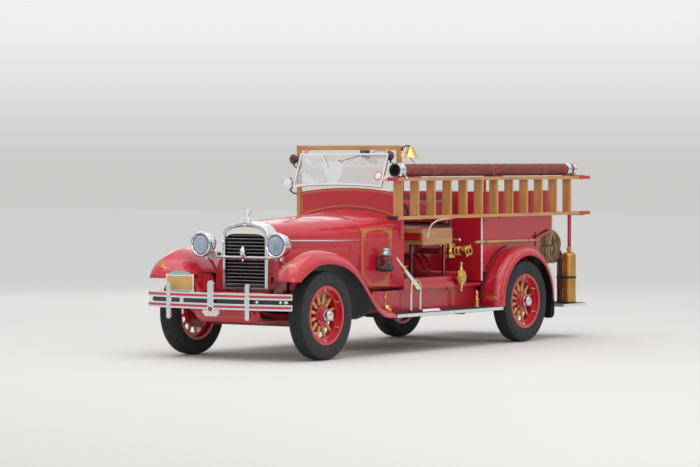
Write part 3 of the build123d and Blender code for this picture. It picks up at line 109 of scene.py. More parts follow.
def wire(source, output, target, entry):
    source.id_data.links.new(source.outputs[output], target.inputs[entry])


def material(name, color, roughness=0.5, metallic=0.0, coat=0.0, vary=0.06, scale=6.0, bump=0.0,
             bump_scale=60.0, stretch=(1, 1, 1), transmission=0.0, alpha=1.0, second=None):
    """A principled material whose colour drifts a little with a noise, towards `second` if given."""
    made = bpy.data.materials.new(name)
    made.use_nodes = True
    tree = made.node_tree
    shader = tree.nodes["Principled BSDF"]
    set_inputs(shader, {"Roughness": roughness, "Metallic": metallic, "Coat Weight": coat,
                        "Coat Roughness": 0.06, "Transmission Weight": transmission, "Alpha": alpha})
    place = node(tree, "TexCoord", {})
    mapping = node(tree, "Mapping", {"Scale": stretch})
    wire(place, "Object", mapping, "Vector")
    noise = node(tree, "TexNoise", {"Scale": scale, "Detail": 5.0})
    wire(mapping, "Vector", noise, "Vector")
    ramp = node(tree, "ValToRGB", {})
    low = second or [c * (1 - vary) for c in color]
    high = color if second else [min(1.0, c * (1 + vary)) for c in color]
    for element, position, shade in zip(ramp.color_ramp.elements, (0.35, 0.65), (low, high)):
        element.position = position
        element.color = (*shade, 1)
    wire(noise, "Fac", ramp, "Fac")
    wire(ramp, "Color", shader, "Base Color")
    if bump:
        grain = node(tree, "TexNoise", {"Scale": bump_scale, "Detail": 3.0})
        wire(mapping, "Vector", grain, "Vector")
        height = node(tree, "Bump", {"Strength": bump, "Distance": 0.002})
        wire(grain, "Fac", height, "Height")
        wire(height, "Normal", shader, "Normal")
    return made


def varnished(name, stretch):
    """Wood whose grain runs along the axis with the small scale."""
    return material(name, (0.6, 0.3, 0.1), roughness=0.33, coat=0.5, scale=26, stretch=stretch,
                    second=(0.46, 0.205, 0.065))


RED = material("red_paint", (0.53, 0.01, 0.026), roughness=0.3, coat=0.8, vary=0.04)
DARK_RED = material("chassis_red", (0.34, 0.008, 0.018), roughness=0.42, coat=0.4, vary=0.1, scale=9)
CHROME = material("chrome", (0.8, 0.81, 0.83), roughness=0.09, metallic=1.0, vary=0.02)
STEEL = material("bright_edge", (0.88, 0.88, 0.88), roughness=0.42, metallic=0.9, vary=0.04, scale=20)
BLACK = material("black_paint", (0.012, 0.012, 0.013), roughness=0.3, coat=0.5, vary=0.2)
CHASSIS = material("chassis_black", (0.018, 0.017, 0.017), roughness=0.55, vary=0.3, bump=0.15)
CAST = material("cast_grey", (0.1, 0.1, 0.105), roughness=0.6, metallic=0.4, vary=0.2, bump=0.35)
WOOD = varnished("varnished_wood", (1, 0.12, 1))
WOOD_UP = varnished("varnished_wood_upright", (1, 1, 0.12))
WOOD_ACROSS = varnished("varnished_wood_across", (0.12, 1, 1))
SPOKE_WOOD = material("spoke_wood", (0.62, 0.36, 0.12), roughness=0.34, coat=0.5, scale=30,
                      second=(0.5, 0.26, 0.075))
RUBBER = material("tyre_rubber", (0.022, 0.023, 0.025), roughness=0.72, vary=0.25, scale=14, bump=0.12,
                  bump_scale=300)
MAT = material("ribbed_mat", (0.045, 0.045, 0.047), roughness=0.8, vary=0.2, bump=0.3, bump_scale=240)
HOSE = material("suction_hose_cloth", (0.24, 0.055, 0.05), roughness=0.78, scale=34, stretch=(1, 0.25, 1),
                second=(0.16, 0.032, 0.03), bump=0.5, bump_scale=420)
LEATHER = material("red_leather", (0.3, 0.01, 0.014), roughness=0.42, vary=0.15, bump=0.35, bump_scale=180)
BRASS = material("brass", (0.8, 0.52, 0.18), roughness=0.2, metallic=1.0, vary=0.08, scale=14)
OLD_BRASS = material("tank_brass", (0.66, 0.4, 0.1), roughness=0.34, metallic=0.9, scale=9,
                     second=(0.5, 0.27, 0.07))
GOLD = material("gold_leaf", (0.72, 0.46, 0.13), roughness=0.38, metallic=0.55, vary=0.08, scale=30)
BLADE_EDGE = material("blade_edge", (0.4, 0.41, 0.42), roughness=0.35, coat=0.3, vary=0.06)
GLASS = material("clear_glass", (0.93, 0.97, 0.97), roughness=0.02, transmission=1.0, alpha=0.28, vary=0.01)
LENS = material("lamp_lens", (0.74, 0.84, 0.95), roughness=0.05, transmission=0.7, alpha=0.38, scale=14,
                second=(0.4, 0.55, 0.78))
REFLECTOR = material("lamp_reflector", (0.86, 0.89, 0.93), roughness=0.16, metallic=1.0, vary=0.02)
# Maroon paint, also used as painted shade: behind the louvres, on the seat's back board and deep under the
# seat.
MAROON_AND_SHADE = material("maroon_paint_and_painted_shade", (0.1, 0.008, 0.01), roughness=0.3, coat=0.6, vary=0.15)
WELT = material("black_welting", (0.02, 0.02, 0.021), roughness=0.6, vary=0.2, bump=0.2)
PALE_LENS = material("pale_lens", (0.84, 0.88, 0.9), roughness=0.12, coat=0.6, vary=0.04, scale=30)
PLATE_GREY = material("grey_disc", (0.36, 0.44, 0.52), roughness=0.35, vary=0.1)
NICKEL = material("pale_nickel", (0.86, 0.85, 0.84), roughness=0.22, metallic=0.85, vary=0.05, scale=16)
PALE_WOOD = material("pale_pole_wood", (0.66, 0.44, 0.22), roughness=0.5, scale=24, stretch=(1, 0.1, 1),
                     second=(0.55, 0.34, 0.15))
RED_GLASS = material("red_glass", (0.25, 0.004, 0.006), roughness=0.1, coat=0.8, vary=0.1)
DARK_LENS = material("dark_lens", (0.06, 0.006, 0.008), roughness=0.12, coat=0.8, vary=0.3, scale=40)
ROPE = material("manila_rope", (0.47, 0.36, 0.2), roughness=0.9, scale=60, second=(0.33, 0.24, 0.12),
                bump=0.6, bump_scale=500)
PLATE_TAN = material("blank_plate", (0.62, 0.37, 0.13), roughness=0.5, vary=0.05)
WHITE_TRIM = material("white_trim", (0.84, 0.83, 0.8), roughness=0.3, coat=0.5, vary=0.03, scale=20)
TIN = material("lantern_tin", (0.5, 0.58, 0.66), roughness=0.3, metallic=0.9, vary=0.1, scale=24)
TIN_DARK = material("lantern_base", (0.055, 0.05, 0.055), roughness=0.45, metallic=0.3, vary=0.3, scale=24,
                    bump=0.1)
RED_GLOBE = material("lantern_globe", (0.2, 0.004, 0.01), roughness=0.08, coat=1.0, vary=0.08)
PIPING = material("leather_piping", (0.24, 0.008, 0.011), roughness=0.5, vary=0.15, bump=0.2, bump_scale=220)
CREAM = material("cream_paint", (0.8, 0.78, 0.72), roughness=0.35, coat=0.4, vary=0.03)
GREY_METAL = material("grey_metal", (0.3, 0.31, 0.33), roughness=0.38, metallic=0.9, vary=0.1)


# Making meshes

class Piece:
    """Collects simple solids into one mesh, each with its own material."""

    def __init__(self):
        self.mesh = bmesh.new()
        self.materials = []

    def paint(self, faces, coat):
        if coat not in self.materials:
            self.materials.append(coat)
        index = self.materials.index(coat)
        for face in faces:
            face.material_index = index

    def box(self, low, high, coat, bevel=0.0, turn=None):
        size = [abs(h - l) for l, h in zip(low, high)]
        centre = [(h + l) / 2 for l, h in zip(low, high)]
        made = bmesh.ops.create_cube(self.mesh, size=1.0)["verts"]
        bmesh.ops.scale(self.mesh, vec=size, verts=made)
        bmesh.ops.translate(self.mesh, vec=centre, verts=made)
        faces = list({face for vert in made for face in vert.link_faces})
        self.paint(faces, coat)
        if bevel:
            edges = list({edge for vert in made for edge in vert.link_edges})
            out = bmesh.ops.bevel(self.mesh, geom=edges, offset=bevel, segments=2, profile=0.7,
                                  affect="EDGES")
            self.paint(out["faces"], coat)
            made = list({v for face in out["faces"] for v in face.verts} | {v for v in made if v.is_valid})
        if turn:
            bmesh.ops.rotate(self.mesh, verts=made, cent=centre, matrix=turn)

    def loops(self, rings, coat, closed=True, caps=True):
        """Joins rings of points, each a list of vectors (one point alone is a tip), into a skin."""
        made = [[self.mesh.verts.new(point) for point in ring] for ring in rings]
        faces = []
        for first, second in zip(made, made[1:]):
            count = max(len(first), len(second))
            for i in range(count if closed else count - 1):
                j = (i + 1) % count
                corners = []
                for vert in (first[i % len(first)], first[j % len(first)], second[j % len(second)],
                             second[i % len(second)]):
                    if vert not in corners:
                        corners.append(vert)
                faces.append(self.mesh.faces.new(corners))
        if caps:
            for ring in (made[0], made[-1]):
                if len(ring) > 2:
                    faces.append(self.mesh.faces.new(ring))
        self.paint(faces, coat)

    def lathe(self, outline, origin, axis, coat, sides=32, closed=False):
        """Turns an outline of (distance along the axis, radius) about the axis through origin."""
        turn = Vector(axis).normalized().to_track_quat("Z", "Y")
        rings = []
        for along, radius in outline:
            if radius < 1e-6:
                rings.append([Vector(origin) + turn @ vec(z=along)])
                continue
            rings.append([Vector(origin) + turn @ vec(radius * math.cos(t), radius * math.sin(t), along)
                          for t in turns(sides)])
        if closed:
            rings.append(rings[0])
        self.loops(rings, coat, caps=not closed)

    def rod(self, start, end, radius, coat, end_radius=None, sides=20):
        axis = Vector(end) - Vector(start)
        last = radius if end_radius is None else end_radius
        self.lathe([(0, radius), (axis.length, last)], start, axis, coat, sides)

    def ball(self, centre, radius, coat, squash=1.0, axis=UP, sides=24):
        steps = [math.pi * k / 12 for k in range(13)]
        outline = [(-radius * squash * math.cos(t), radius * math.sin(t)) for t in steps]
        self.lathe(outline, centre, axis, coat, sides)

    def ring(self, centre, axis, radius, thick, coat, sides=40, around=10):
        outline = [(thick * math.sin(t), radius + thick * math.cos(t)) for t in turns(around)]
        self.lathe(outline, centre, axis, coat, sides, closed=True)

    def tube(self, points, radius, coat, sides=10, loop=False):
        """A round bar along a path."""
        path = [Vector(p) for p in points]
        count = len(path)
        tangents = []
        for i in range(count):
            before = path[i - 1] if (i or loop) else path[i]
            after = path[(i + 1) % count] if (i < count - 1 or loop) else path[i]
            tangents.append((after - before).normalized())
        side = tangents[0].orthogonal().normalized()
        rings = []
        for point, tangent in zip(path, tangents):
            side = (side - tangent * side.dot(tangent)).normalized()
            up = tangent.cross(side)
            rings.append([point + radius * (math.cos(t) * side + math.sin(t) * up) for t in turns(sides)])
        if loop:
            rings.append(rings[0])
        self.loops(rings, coat, caps=not loop)

    def strip(self, points, normals, width, thick, coat):
        """A flat line that lies on a surface, such as a painted stripe."""
        path = [Vector(p) for p in points]
        rings = []
        for i, (point, normal) in enumerate(zip(path, normals)):
            before = path[max(i - 1, 0)]
            after = path[min(i + 1, len(path) - 1)]
            up = Vector(normal).normalized()
            across = (after - before).normalized().cross(up).normalized() * width / 2
            lift = up * thick
            rings.append([point - across, point + across, point + across + lift, point - across + lift])
        self.loops(rings, coat)

    def done(self, name, body="chassis", sharp=35):
        bmesh.ops.remove_doubles(self.mesh, verts=self.mesh.verts, dist=1e-6)
        bmesh.ops.recalc_face_normals(self.mesh, faces=self.mesh.faces)
        data = bpy.data.meshes.new(name)
        self.mesh.to_mesh(data)
        self.mesh.free()
        for coat in self.materials:
            data.materials.append(coat)
        data.shade_smooth()
        data.set_sharp_from_angle(angle=math.radians(sharp))
        thing = bpy.data.objects.new(name, data)
        bpy.context.scene.collection.objects.link(thing)
        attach(thing, body)
        return thing


def piece(body="chassis"):
    """Makes one piece, named after the function that follows."""
    def build(function):
        made = Piece()
        function(made)
        made.done(function.__name__, body)
        return function
    return build


def each_side(body="chassis"):
    """Makes a left and a right piece; the function gets 1 or -1 as its way outwards."""
    def build(function):
        for side, way in SIDES.items():
            made = Piece()
            function(made, way)
            made.done(f"{function.__name__}_{side}", body.format(side))
        return function
    return build


def turned(origin, x, radius, angle):
    """A place that far along the X axis from the origin and that far round it."""
    return Vector(origin) + vec(x, radius * math.cos(angle), radius * math.sin(angle))


def arc(centre, radius, start, end, steps):
    """Points of an arc in the YZ plane, with angles in degrees."""
    angles = [math.radians(start + (end - start) * k / steps) for k in range(steps + 1)]
    return [turned(centre, 0, radius, t) for t in angles]


def skin_of(thing):
    """A surface for laying thin things on."""
    return BVHTree.FromObject(thing, bpy.context.evaluated_depsgraph_get())


def drape(made, skin, points, push, width, coat):
    """A painted line: each point goes along push until it meets the skin."""
    path, normals = [], []
    for point in points:
        place, normal, _, _ = skin.ray_cast(point, push)
        if place is None:
            continue
        if normal.dot(push) > 0:
            normal = -normal
        path.append(place + normal * 0.0005)
        normals.append(normal)
    if len(path) > 1:
        made.strip(path, normals, width, 0.0008, coat)
        made.ball(path[-1], width * 0.8, coat, squash=0.3, axis=normals[-1], sides=12)


def curl(corner, along, across, size, sway):
    """A stem that leaves the corner along one way and sways across it."""
    points = []
    for k in range(19):
        t = k / 18
        swing = sway * math.sin(2.4 * math.pi * t) * (1 - 0.4 * t) + 0.13 * min(1.0, 4 * t)
        points.append(corner + along * size * t + across * size * swing)
    return points


# The frame's own nodes

def coat_faces(name, coats, choose=None):
    """Gives each face of a node one of several materials; choose(centre, normal) returns its index."""
    data = nodes[name].data
    data.materials.clear()
    for coat in coats:
        data.materials.append(coat)
    for face in data.polygons if choose else ():
        face.material_index = choose(face.center, face.normal)


PLAIN_NODES = (
    (RED, ("cowl", "frame_rails", "front_panels", "hood_hinge", "hood_left", "hood_right", "hose_body",
           "ladder_brackets", "sign_board")),
    (DARK_RED, ("front_axle", "knuckle_left", "knuckle_right", "leaf_springs", "rear_axle", "tie_rod")),
    (CHROME, ("bumper", "radiator_shell")),
    (CHASSIS, ("drive_line", "exhaust")),
    (BLACK, ("radiator_shutters", "steering_column", "steering_wheel")),
    (CAST, ("engine_block",)),
    (LEATHER, ("seat_cushions",)),
    (GLASS, ("windshield_glass",)),
    (RUBBER, ("tyre_front_left", "tyre_front_right", "tyre_rear_left", "tyre_rear_right")),
)


def fender_coat(middle_y, crown_x):
    """Outside faces are red; a fender's inside and the flap behind the rear wheel are black."""
    def choose(centre, normal):
        way = 1 if centre.x > 0 else -1
        out = Vector((centre.y - middle_y, max(centre.z - AXLE_Z, 0.0))).normalized()
        inward = normal.y * out.x + normal.z * out.y < -0.25
        across = normal.x * way
        hidden = across < -0.3 if abs(centre.x) > crown_x else across > 0.3
        flap = middle_y > 0 and centre.y > middle_y + 0.4 and centre.z < 0.39
        return int(inward or hidden or flap)
    return choose


def board_coat(centre, normal):
    """Running board: splash panel red, mat on top, bright outer edge, the rest black."""
    if 0.537 < abs(centre.x) < 0.547 and centre.z > 0.361:
        return 0
    if centre.z < 0.361 and abs(centre.x) > 0.545 and normal.z > 0.7:
        return 1
    if abs(centre.x) > 0.812 and normal.z > -0.7:
        return 2
    return 3


def tail_coat(centre, normal):
    """Mat on top, a bright edge all round, the rest black."""
    if normal.z > 0.5 and centre.z < 0.34:
        return 0
    return 1 if abs(normal.z) < 0.5 and 0.306 < centre.z < 0.335 else 2


def floor_coat(centre, normal):
    """The mat on the floor; the faces deep under the seat are painted dark maroon as shade."""
    # Painted shade: the faces deep under the seat get the maroon.
    if centre.y > aft(1.87) and abs(centre.x) < 0.5 and centre.z < 0.99:
        return 2
    return int(normal.z > 0.6 and centre.z > 0.655 and abs(centre.x) < 0.579 and centre.z < 0.83)


def piping_coat(centre, normal):
    """The pump's casing and its collars are dark; the pipes' outer ends are bright red."""
    return int(abs(centre.x) < 0.33)


def hose_coat(centre, normal):
    """Cloth in the middle, bright couplings at the ends, dark inside the open one."""
    if HOSE_ENDS[0] < centre.y < HOSE_ENDS[1]:
        return 0
    out = math.hypot(centre.x - HOSE_X, centre.z - HOSE_Z)
    return 2 if out < 0.059 and centre.y < HOSE_ENDS[0] else 1


def seat_coat(centre, normal):
    """Wooden sides and rails, with the grain along each; the back board is painted dark maroon as shade."""
    # Painted shade: the back board is maroon.
    if centre.y > aft(2.402) or centre.z > 1.12:
        return 2
    return 1 if abs(centre.x) > 0.495 else 0


def ladder_coat(centre, normal):
    """Varnished wood; the rails' rear ends are red and the lower one's front end is black."""
    if 1.245 < centre.z < 1.56:
        return 1
    if normal.y < -0.9 and centre.y < aft(1.05):
        return 3
    return 0


def tank_coat(centre, normal):
    """One tank of brass and one of dark paint, each with a black foot."""
    if centre.z < 0.3485:
        return 2
    return 0 if centre.x > 0.62 else 1


def lamp_coat(centre, normal):
    """The bowl's inside is a reflector."""
    out = math.hypot(abs(centre.x) - LAMP_X, centre.z - LAMP_Z)
    return int(out < 0.0955 and centre.y < aft(-0.1428) and normal.y < 0.2 and centre.z > 0.9)


def coat_frame():
    for coat, names in PLAIN_NODES:
        for name in names:
            coat_faces(name, [coat])
    coat_faces("front_fenders", [RED, BLACK], fender_coat(AXLE_Y, 0.7))
    coat_faces("rear_fenders", [RED, BLACK], fender_coat(aft(WHEELBASE), 0.742))
    for end, middle in (("front", 0), ("rear", WHEELBASE)):
        for side in SIDES:
            coat_wheel(f"wheel_{end}_{side}", aft(middle))
    coat_faces("windshield_frame", [WOOD_UP, WOOD_ACROSS], lambda centre, normal: int(centre.z > 1.841))
    coat_faces("ladder", [WOOD, WOOD_UP, RED, BLACK], ladder_coat)
    coat_faces("running_boards", [RED, MAT, STEEL, BLACK], board_coat)
    coat_faces("tailboard", [MAT, STEEL, BLACK], tail_coat)
    coat_faces("cab_floor", [RED, MAT, MAROON_AND_SHADE], floor_coat)
    coat_faces("pump_piping", [RED, DARK_RED], piping_coat)
    coat_faces("seat_frame", [WOOD_ACROSS, WOOD, MAROON_AND_SHADE], seat_coat)
    coat_faces("windshield_sash", [CHROME, WOOD_ACROSS], lambda centre, normal: int(centre.z > 1.8185))
    coat_faces("suction_hose", [HOSE, CHROME, BLACK], hose_coat)
    coat_faces("extinguisher", [OLD_BRASS, MAROON_AND_SHADE, BLACK], tank_coat)
    coat_faces("pump_fittings", [BRASS, CHROME], lambda centre, normal: int(centre.z > 0.985))
    coat_faces("headlamps", [CHROME, REFLECTOR], lamp_coat)


def coat_wheel(name, middle_y):
    """Hub, rim and felloe are red, the spokes are wood and the cap is chrome."""
    def choose(centre, normal):
        out = math.hypot(centre.y - middle_y, centre.z - AXLE_Z)
        beyond = abs(centre.x) - TRACK_HALF
        if beyond > 0.066 and out < 0.05:
            return 2
        if 0.098 < out < 0.1955 and abs(beyond) < 0.0218:
            return 1
        return 0
    coat_faces(name, [RED, SPOKE_WOOD, CHROME], choose)


coat_frame()


# Tyres and wheels

CLIP_HALF = vec(0.01, 0.012, 0.012)
CROWN_EDGE_R, CROWN_RISE, CROWN_HALF = 0.3872, 0.0058, 0.058
TREAD_FOOT_R, GROOVE_DEPTH, TREAD_BLOCKS = 0.376, 0.007, 72


def crown(x):
    """The tread's radius at x from the tyre's middle."""
    return CROWN_EDGE_R + CROWN_RISE * (1 - (x / CROWN_HALF) ** 2)


def tyre_outline():
    """(out from the middle, radius) from one bead over the tread to the other, as the frame's tyre."""
    half = mm((59.7, 247.3), (59.7, 266), (70, 270), (78.5, 295), (82.2, 322), (80, 346), (74.5, 366),
              (69, 376), (65.5, 383.2), (58, 387.2))
    right = half + [(x, crown(x)) for x in (0.044, 0.03, 0.015, 0.0)]
    left = [(-x, r) for x, r in reversed(right[:-1])]
    return right + left


def tread(name, middle_y, x_middle, body):
    """A tyre with ribs round its sides, grooves round its crown and notches cut in its shoulders."""
    made = Piece()
    origin = (x_middle, middle_y, AXLE_Z)
    base = [(x, r - GROOVE_DEPTH if r > 0.3865 else r) for x, r in tyre_outline()]
    made.lathe(base, origin, LEFT, RUBBER, sides=96, closed=True)
    for low, high in ((-0.056, -0.037), (-0.031, -0.015), (-0.009, 0.009), (0.015, 0.031), (0.037, 0.056)):
        ring = [(low, TREAD_FOOT_R), *((x, crown(x)) for x in (low, (low + high) / 2, high)),
                (high, TREAD_FOOT_R)]
        step = 2 * math.pi / TREAD_BLOCKS
        slant = 0.35 * (1 if (low + high) > 0 else -1) * step
        for start in turns(TREAD_BLOCKS):
            made.loops([[turned(origin, x, r, start + edge + slant * (x - low) / (high - low))
                         for x, r in ring] for edge in (0.06 * step, 0.88 * step)], RUBBER)
    for radius in (0.3, 0.309, 0.352, 0.358):
        wide = 0.0822 - 0.6 * abs(radius - 0.322)
        for way in (-1, 1):
            made.ring((x_middle + way * (wide - 0.0006), middle_y, AXLE_Z), LEFT, radius, 0.0018, RUBBER,
                      sides=96, around=6)
    return made.done(name, body, sharp=30)


def wheel_trim(name, middle_y, way, body):
    """Rim bolts, hub nuts, the cap's hexagon and the valve stem."""
    made = Piece()
    middle = (way * TRACK_HALF, middle_y, AXLE_Z)
    out = (way, 0, 0)

    def around(beyond, radius, angle):
        return turned(middle, way * beyond, radius, angle)

    def bolt(start, end, angle, thick, coat, sides):
        """From one (out, radius) to another; both lie at the same angle."""
        made.rod(around(*start, angle), around(*end, angle), thick, coat, sides=sides)
    for angle in turns(6, math.radians(30)):
        bolt((0.028, 0.224), (0.05, 0.224), angle, 0.01, CHROME, 6)
        bolt((0.046, 0.224), (0.056, 0.224), angle, 0.006, CHROME, 12)
        clip = around(0.034, 0.238, angle)
        made.box(clip - CLIP_HALF, clip + CLIP_HALF, RED)
    for angle in turns(12):
        bolt((0.029, 0.078), (0.037, 0.078), angle, 0.0065, GREY_METAL, 6)
    made.lathe(mm((64, 52), (72, 52), (75, 48), (100, 48), (108, 41)), middle, out, CHROME, sides=8)
    made.lathe(mm((100, 43), (112, 38), (115.8, 28), (116.8, 0)), middle, out, CHROME, sides=36)
    made.lathe(mm((28, 58), (40, 58), (46, 50), (66, 50)), middle, out, RED)
    bolt((0.03, 0.243), (0.058, 0.232), math.radians(75), 0.005, CHROME, 10)
    made.done(name, body)


def dress_wheels():
    for end, middle in (("front", 0), ("rear", WHEELBASE)):
        for side, way in SIDES.items():
            body = f"wheel_{end}_{side}"
            rubber = tread(f"tread_{end}_{side}", aft(middle), way * TRACK_HALF, body)
            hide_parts(f"tyre_{end}_{side}")
            wheel_trim(f"wheel_trim_{end}_{side}", aft(middle), way, body)


dress_wheels()


# Radiator, lamps and bumper

shell_low, shell_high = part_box("radiator_shell")
SHELL_FRONT = shell_low[1]
SHELL_TOP = shell_high[2]
LAMP_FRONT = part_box("headlamps")[0][1]
BAR_Z = 0.892
BAR_Y = SHELL_FRONT - 0.0133
SHUTTER_HALF = 0.2135
BUMPER_HALF, BUMPER_SAG = 0.785, 0.108
BUMPER_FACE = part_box("bumper")[0][1] + 0.014


@piece()
def radiator_cap(made):
    y = SHELL_FRONT + 0.045
    base = (0, y, SHELL_TOP - 0.003)
    made.lathe(mm((0, 36), (6, 36), (10, 30), (24, 28), (28, 12), (44, 9), (50, 16), (56, 10)), base, UP,
               CHROME)
    gauge = (0, y, SHELL_TOP + 0.086)
    made.lathe(mm((-9, 0), (-9, 34), (9, 34), (9, 0)), gauge, AFT, CHROME)
    made.lathe(mm((-10.5, 0), (-10.5, 26), (-9, 28)), gauge, AFT, CREAM)
    for way in (-1, 1):
        made.ball((way * 0.042, y, SHELL_TOP + 0.02), 0.011, CHROME)
        made.rod((way * 0.02, y, SHELL_TOP + 0.02), (way * 0.042, y, SHELL_TOP + 0.02), 0.006, CHROME)


@piece()
def radiator_badge(made):
    made.lathe(mm((0, 22), (4, 22), (6, 18), (6, 0)), (0, SHELL_FRONT + 0.001, SHELL_TOP - 0.022), FORE,
               CHROME)


@each_side()
def headlamp_ring(made, way):
    """The rim with its rings, and the bulb on its tripod."""
    centre = vec(way * LAMP_X, LAMP_FRONT, LAMP_Z)
    made.lathe([(-0.03, LAMP_R - 0.002), (-0.02, LAMP_R + 0.003), (-0.004, LAMP_R + 0.003),
                (0.006, LAMP_R - 0.002), (0.01, LAMP_R - 0.01), (0.01, LAMP_R - 0.018),
                (0.004, LAMP_R - 0.024), (0.0005, LAMP_R - 0.024)], centre, FORE, CHROME, sides=48)
    made.ring(centre + vec(y=-0.003), AFT, LAMP_R - 0.0265, 0.0034, BLACK, sides=48)
    made.ring(centre + vec(y=0.004), AFT, LAMP_R - 0.05, 0.0022, PLATE_GREY, sides=48)
    made.rod(centre + vec(y=0.112), centre + vec(y=0.062), 0.01, CHROME, sides=16)
    made.ball(centre + vec(y=0.05), 0.018, PALE_LENS)
    for turn in turns(3, math.pi / 2):
        reach = vec(math.cos(turn), 0, math.sin(turn))
        made.rod(centre + vec(y=0.05), centre + reach * 0.058 + vec(y=0.03), 0.0035, CHROME, sides=8)


@each_side()
def headlamp_glass(made, way):
    """The domed glass with its upright ribs."""
    centre = vec(way * LAMP_X, LAMP_FRONT, LAMP_Z)
    made.lathe(mm((3, 86.5), (6, 83), (11, 66), (15, 45), (17, 20), (17.5, 0)), centre, FORE, LENS, sides=48)
    for k in range(-5, 6):
        across = 0.0145 * k
        half = 0.78 * math.sqrt(0.078 ** 2 - across ** 2)
        middle = centre + vec(across, 0.0125 * (across / 0.09) ** 2 - 0.0165)
        made.rod(middle - vec(z=half), middle + vec(z=half), 0.0022, LENS, sides=8)


@piece()
def lamp_bar_fittings(made):
    """Lamp stems, collars and braces, and the ornament in the bar's middle."""
    for way in (-1, 1):
        x = way * LAMP_X
        made.lathe(mm((0, 26), (12, 26), (20, 16), (46, 14)), (x, BAR_Y, BAR_Z + 0.01), UP, CHROME)
        made.lathe(mm((0, 20), (12, 20), (18, 12)), (x, BAR_Y, BAR_Z - 0.014), -UP, CHROME)
        for step in (0.1, 0.235):
            made.ring((way * step, BAR_Y, BAR_Z), LEFT, 0.0145, 0.0025, CHROME, sides=24)
        made.rod((way * (LAMP_X - 0.02), BAR_Y, BAR_Z), (way * 0.4, aft(-0.02), 0.74), 0.014, CHROME)
    made.lathe(mm((-70, 0), (-66, 8), (-56, 10), (-48, 6), (-34, 12), (-16, 25), (10, 31), (36, 25), (62, 11),
                  (76, 0)), (0, BAR_Y - 0.016, BAR_Z + 0.03), UP, CHROME)


@piece()
def horn(made):
    """A round horn with a bright mesh face, behind the lamp bar on the right."""
    centre = vec(-0.33, SHELL_FRONT - 0.032, BAR_Z + 0.016)
    made.lathe(mm((2, 0), (2, 34), (0, 38), (6, 44), (16, 43), (40, 30), (90, 28), (98, 18), (98, 0)), centre,
               AFT, BLACK)
    made.ring(centre, AFT, 0.041, 0.005, STEEL)
    for k in range(-4, 5):
        half = math.sqrt(0.039 ** 2 - (0.0086 * k) ** 2)
        for along, across in ((UP, LEFT), (LEFT, UP)):
            middle = centre + across * 0.0086 * k - vec(y=0.002)
            made.rod(middle - along * half, middle + along * half, 0.0017, STEEL, sides=6)


def on_bumper(x, z, deep=0.0):
    """A place that far behind the bumper's bowed face."""
    radius = (BUMPER_HALF ** 2 + BUMPER_SAG ** 2) / (2 * BUMPER_SAG)
    return vec(x, BUMPER_FACE + radius - math.sqrt(radius ** 2 - x ** 2) + deep, z)


@piece()
def bumper_trim(made):
    """Red stripes between bright beads, bolts, the middle's reflector and the backing bar."""
    xs = [-0.783 + 1.566 * k / 40 for k in range(41)]
    for z in (0.57, 0.478):
        points = [on_bumper(x, z, -0.0004) for x in xs]
        made.strip(points, [(x * 0.3, -1, 0) for x in xs], 0.02, 0.0012, RED)
        for edge in (-1, 1):
            made.tube([point + vec(0, -0.001, edge * 0.0235) for point in points], 0.0035, CHROME, sides=8)
    for x in (-0.5, 0, 0.38):
        for z in (0.478, 0.57):
            made.lathe(mm((0, 12.5), (4, 12.5), (8, 7), (9, 0)), on_bumper(x, z, -0.015), FORE, CHROME,
                       sides=20)
    made.lathe(mm((0, 24), (6, 22), (12, 12), (14, 0)), on_bumper(0, 0.458, -0.0145), FORE, RED_GLASS)
    made.ring(on_bumper(0, 0.458, -0.016), AFT, 0.025, 0.003, CHROME)
    bar = ((0.5, 0.017), (0.497, 0.023), (0.551, 0.023), (0.548, 0.017))
    made.loops([[on_bumper(-0.735 + 1.47 * k / 40, z, deep) for z, deep in bar] for k in range(41)], BLACK)
    for x in (-0.735, -0.48, 0.47, 0.69, 0.735):
        made.lathe(mm((0, 13), (26, 13), (30, 9), (30, 0)), on_bumper(x, 0.524, 0.016), FORE, NICKEL,
                   sides=16)


@piece()
def number_plate(made):
    """Blank, in a pale frame, on a bracket from the bumper's right clip."""
    middle = at(-0.43, -0.535, 0.672)
    made.box(middle + vec(-0.155, -0.004, -0.075), middle + vec(0.155, 0, 0.075), CREAM, bevel=0.003)
    made.box(middle + vec(-0.142, -0.0055, -0.06), middle + vec(0.142, -0.0035, 0.058), PLATE_TAN)
    top = [middle + vec(0.125 * math.cos(t), -0.004, 0.07 + 0.034 * math.sin(t)) for t in turns(32)[:17]]
    made.loops([top, [p + vec(y=0.004) for p in top]], PLATE_GREY)
    for x in (-0.06, 0.06):
        made.rod(middle + vec(x, 0.004, 0.03), middle + vec(x, 0.004, -0.087), 0.006, CHROME)


@piece()
def crown_strip(made):
    """The pale header at the top of the shutters, flat below and arched above."""
    y = SHELL_FRONT + 0.008
    rings = []
    for k in range(25):
        share = k / 12 - 1
        x = SHUTTER_HALF * share
        top, low = SHELL_TOP - 0.046 - 0.04 * share ** 2, 1.098 - 0.034 * abs(share) ** 7
        rings.append([vec(x, y, top), vec(x, y, low), vec(x, y + 0.003, low), vec(x, y + 0.003, top)])
    made.loops(rings, CREAM)


@piece()
def shutter_edges(made):
    """The bright front edge of each blade."""
    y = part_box("radiator_shutters")[0][1] - 0.0012
    for k in range(15):
        z = 0.6545 + 0.03075 * k
        made.rod((-SHUTTER_HALF, y, z), (SHUTTER_HALF, y, z), 0.0021, BLADE_EDGE, sides=8)


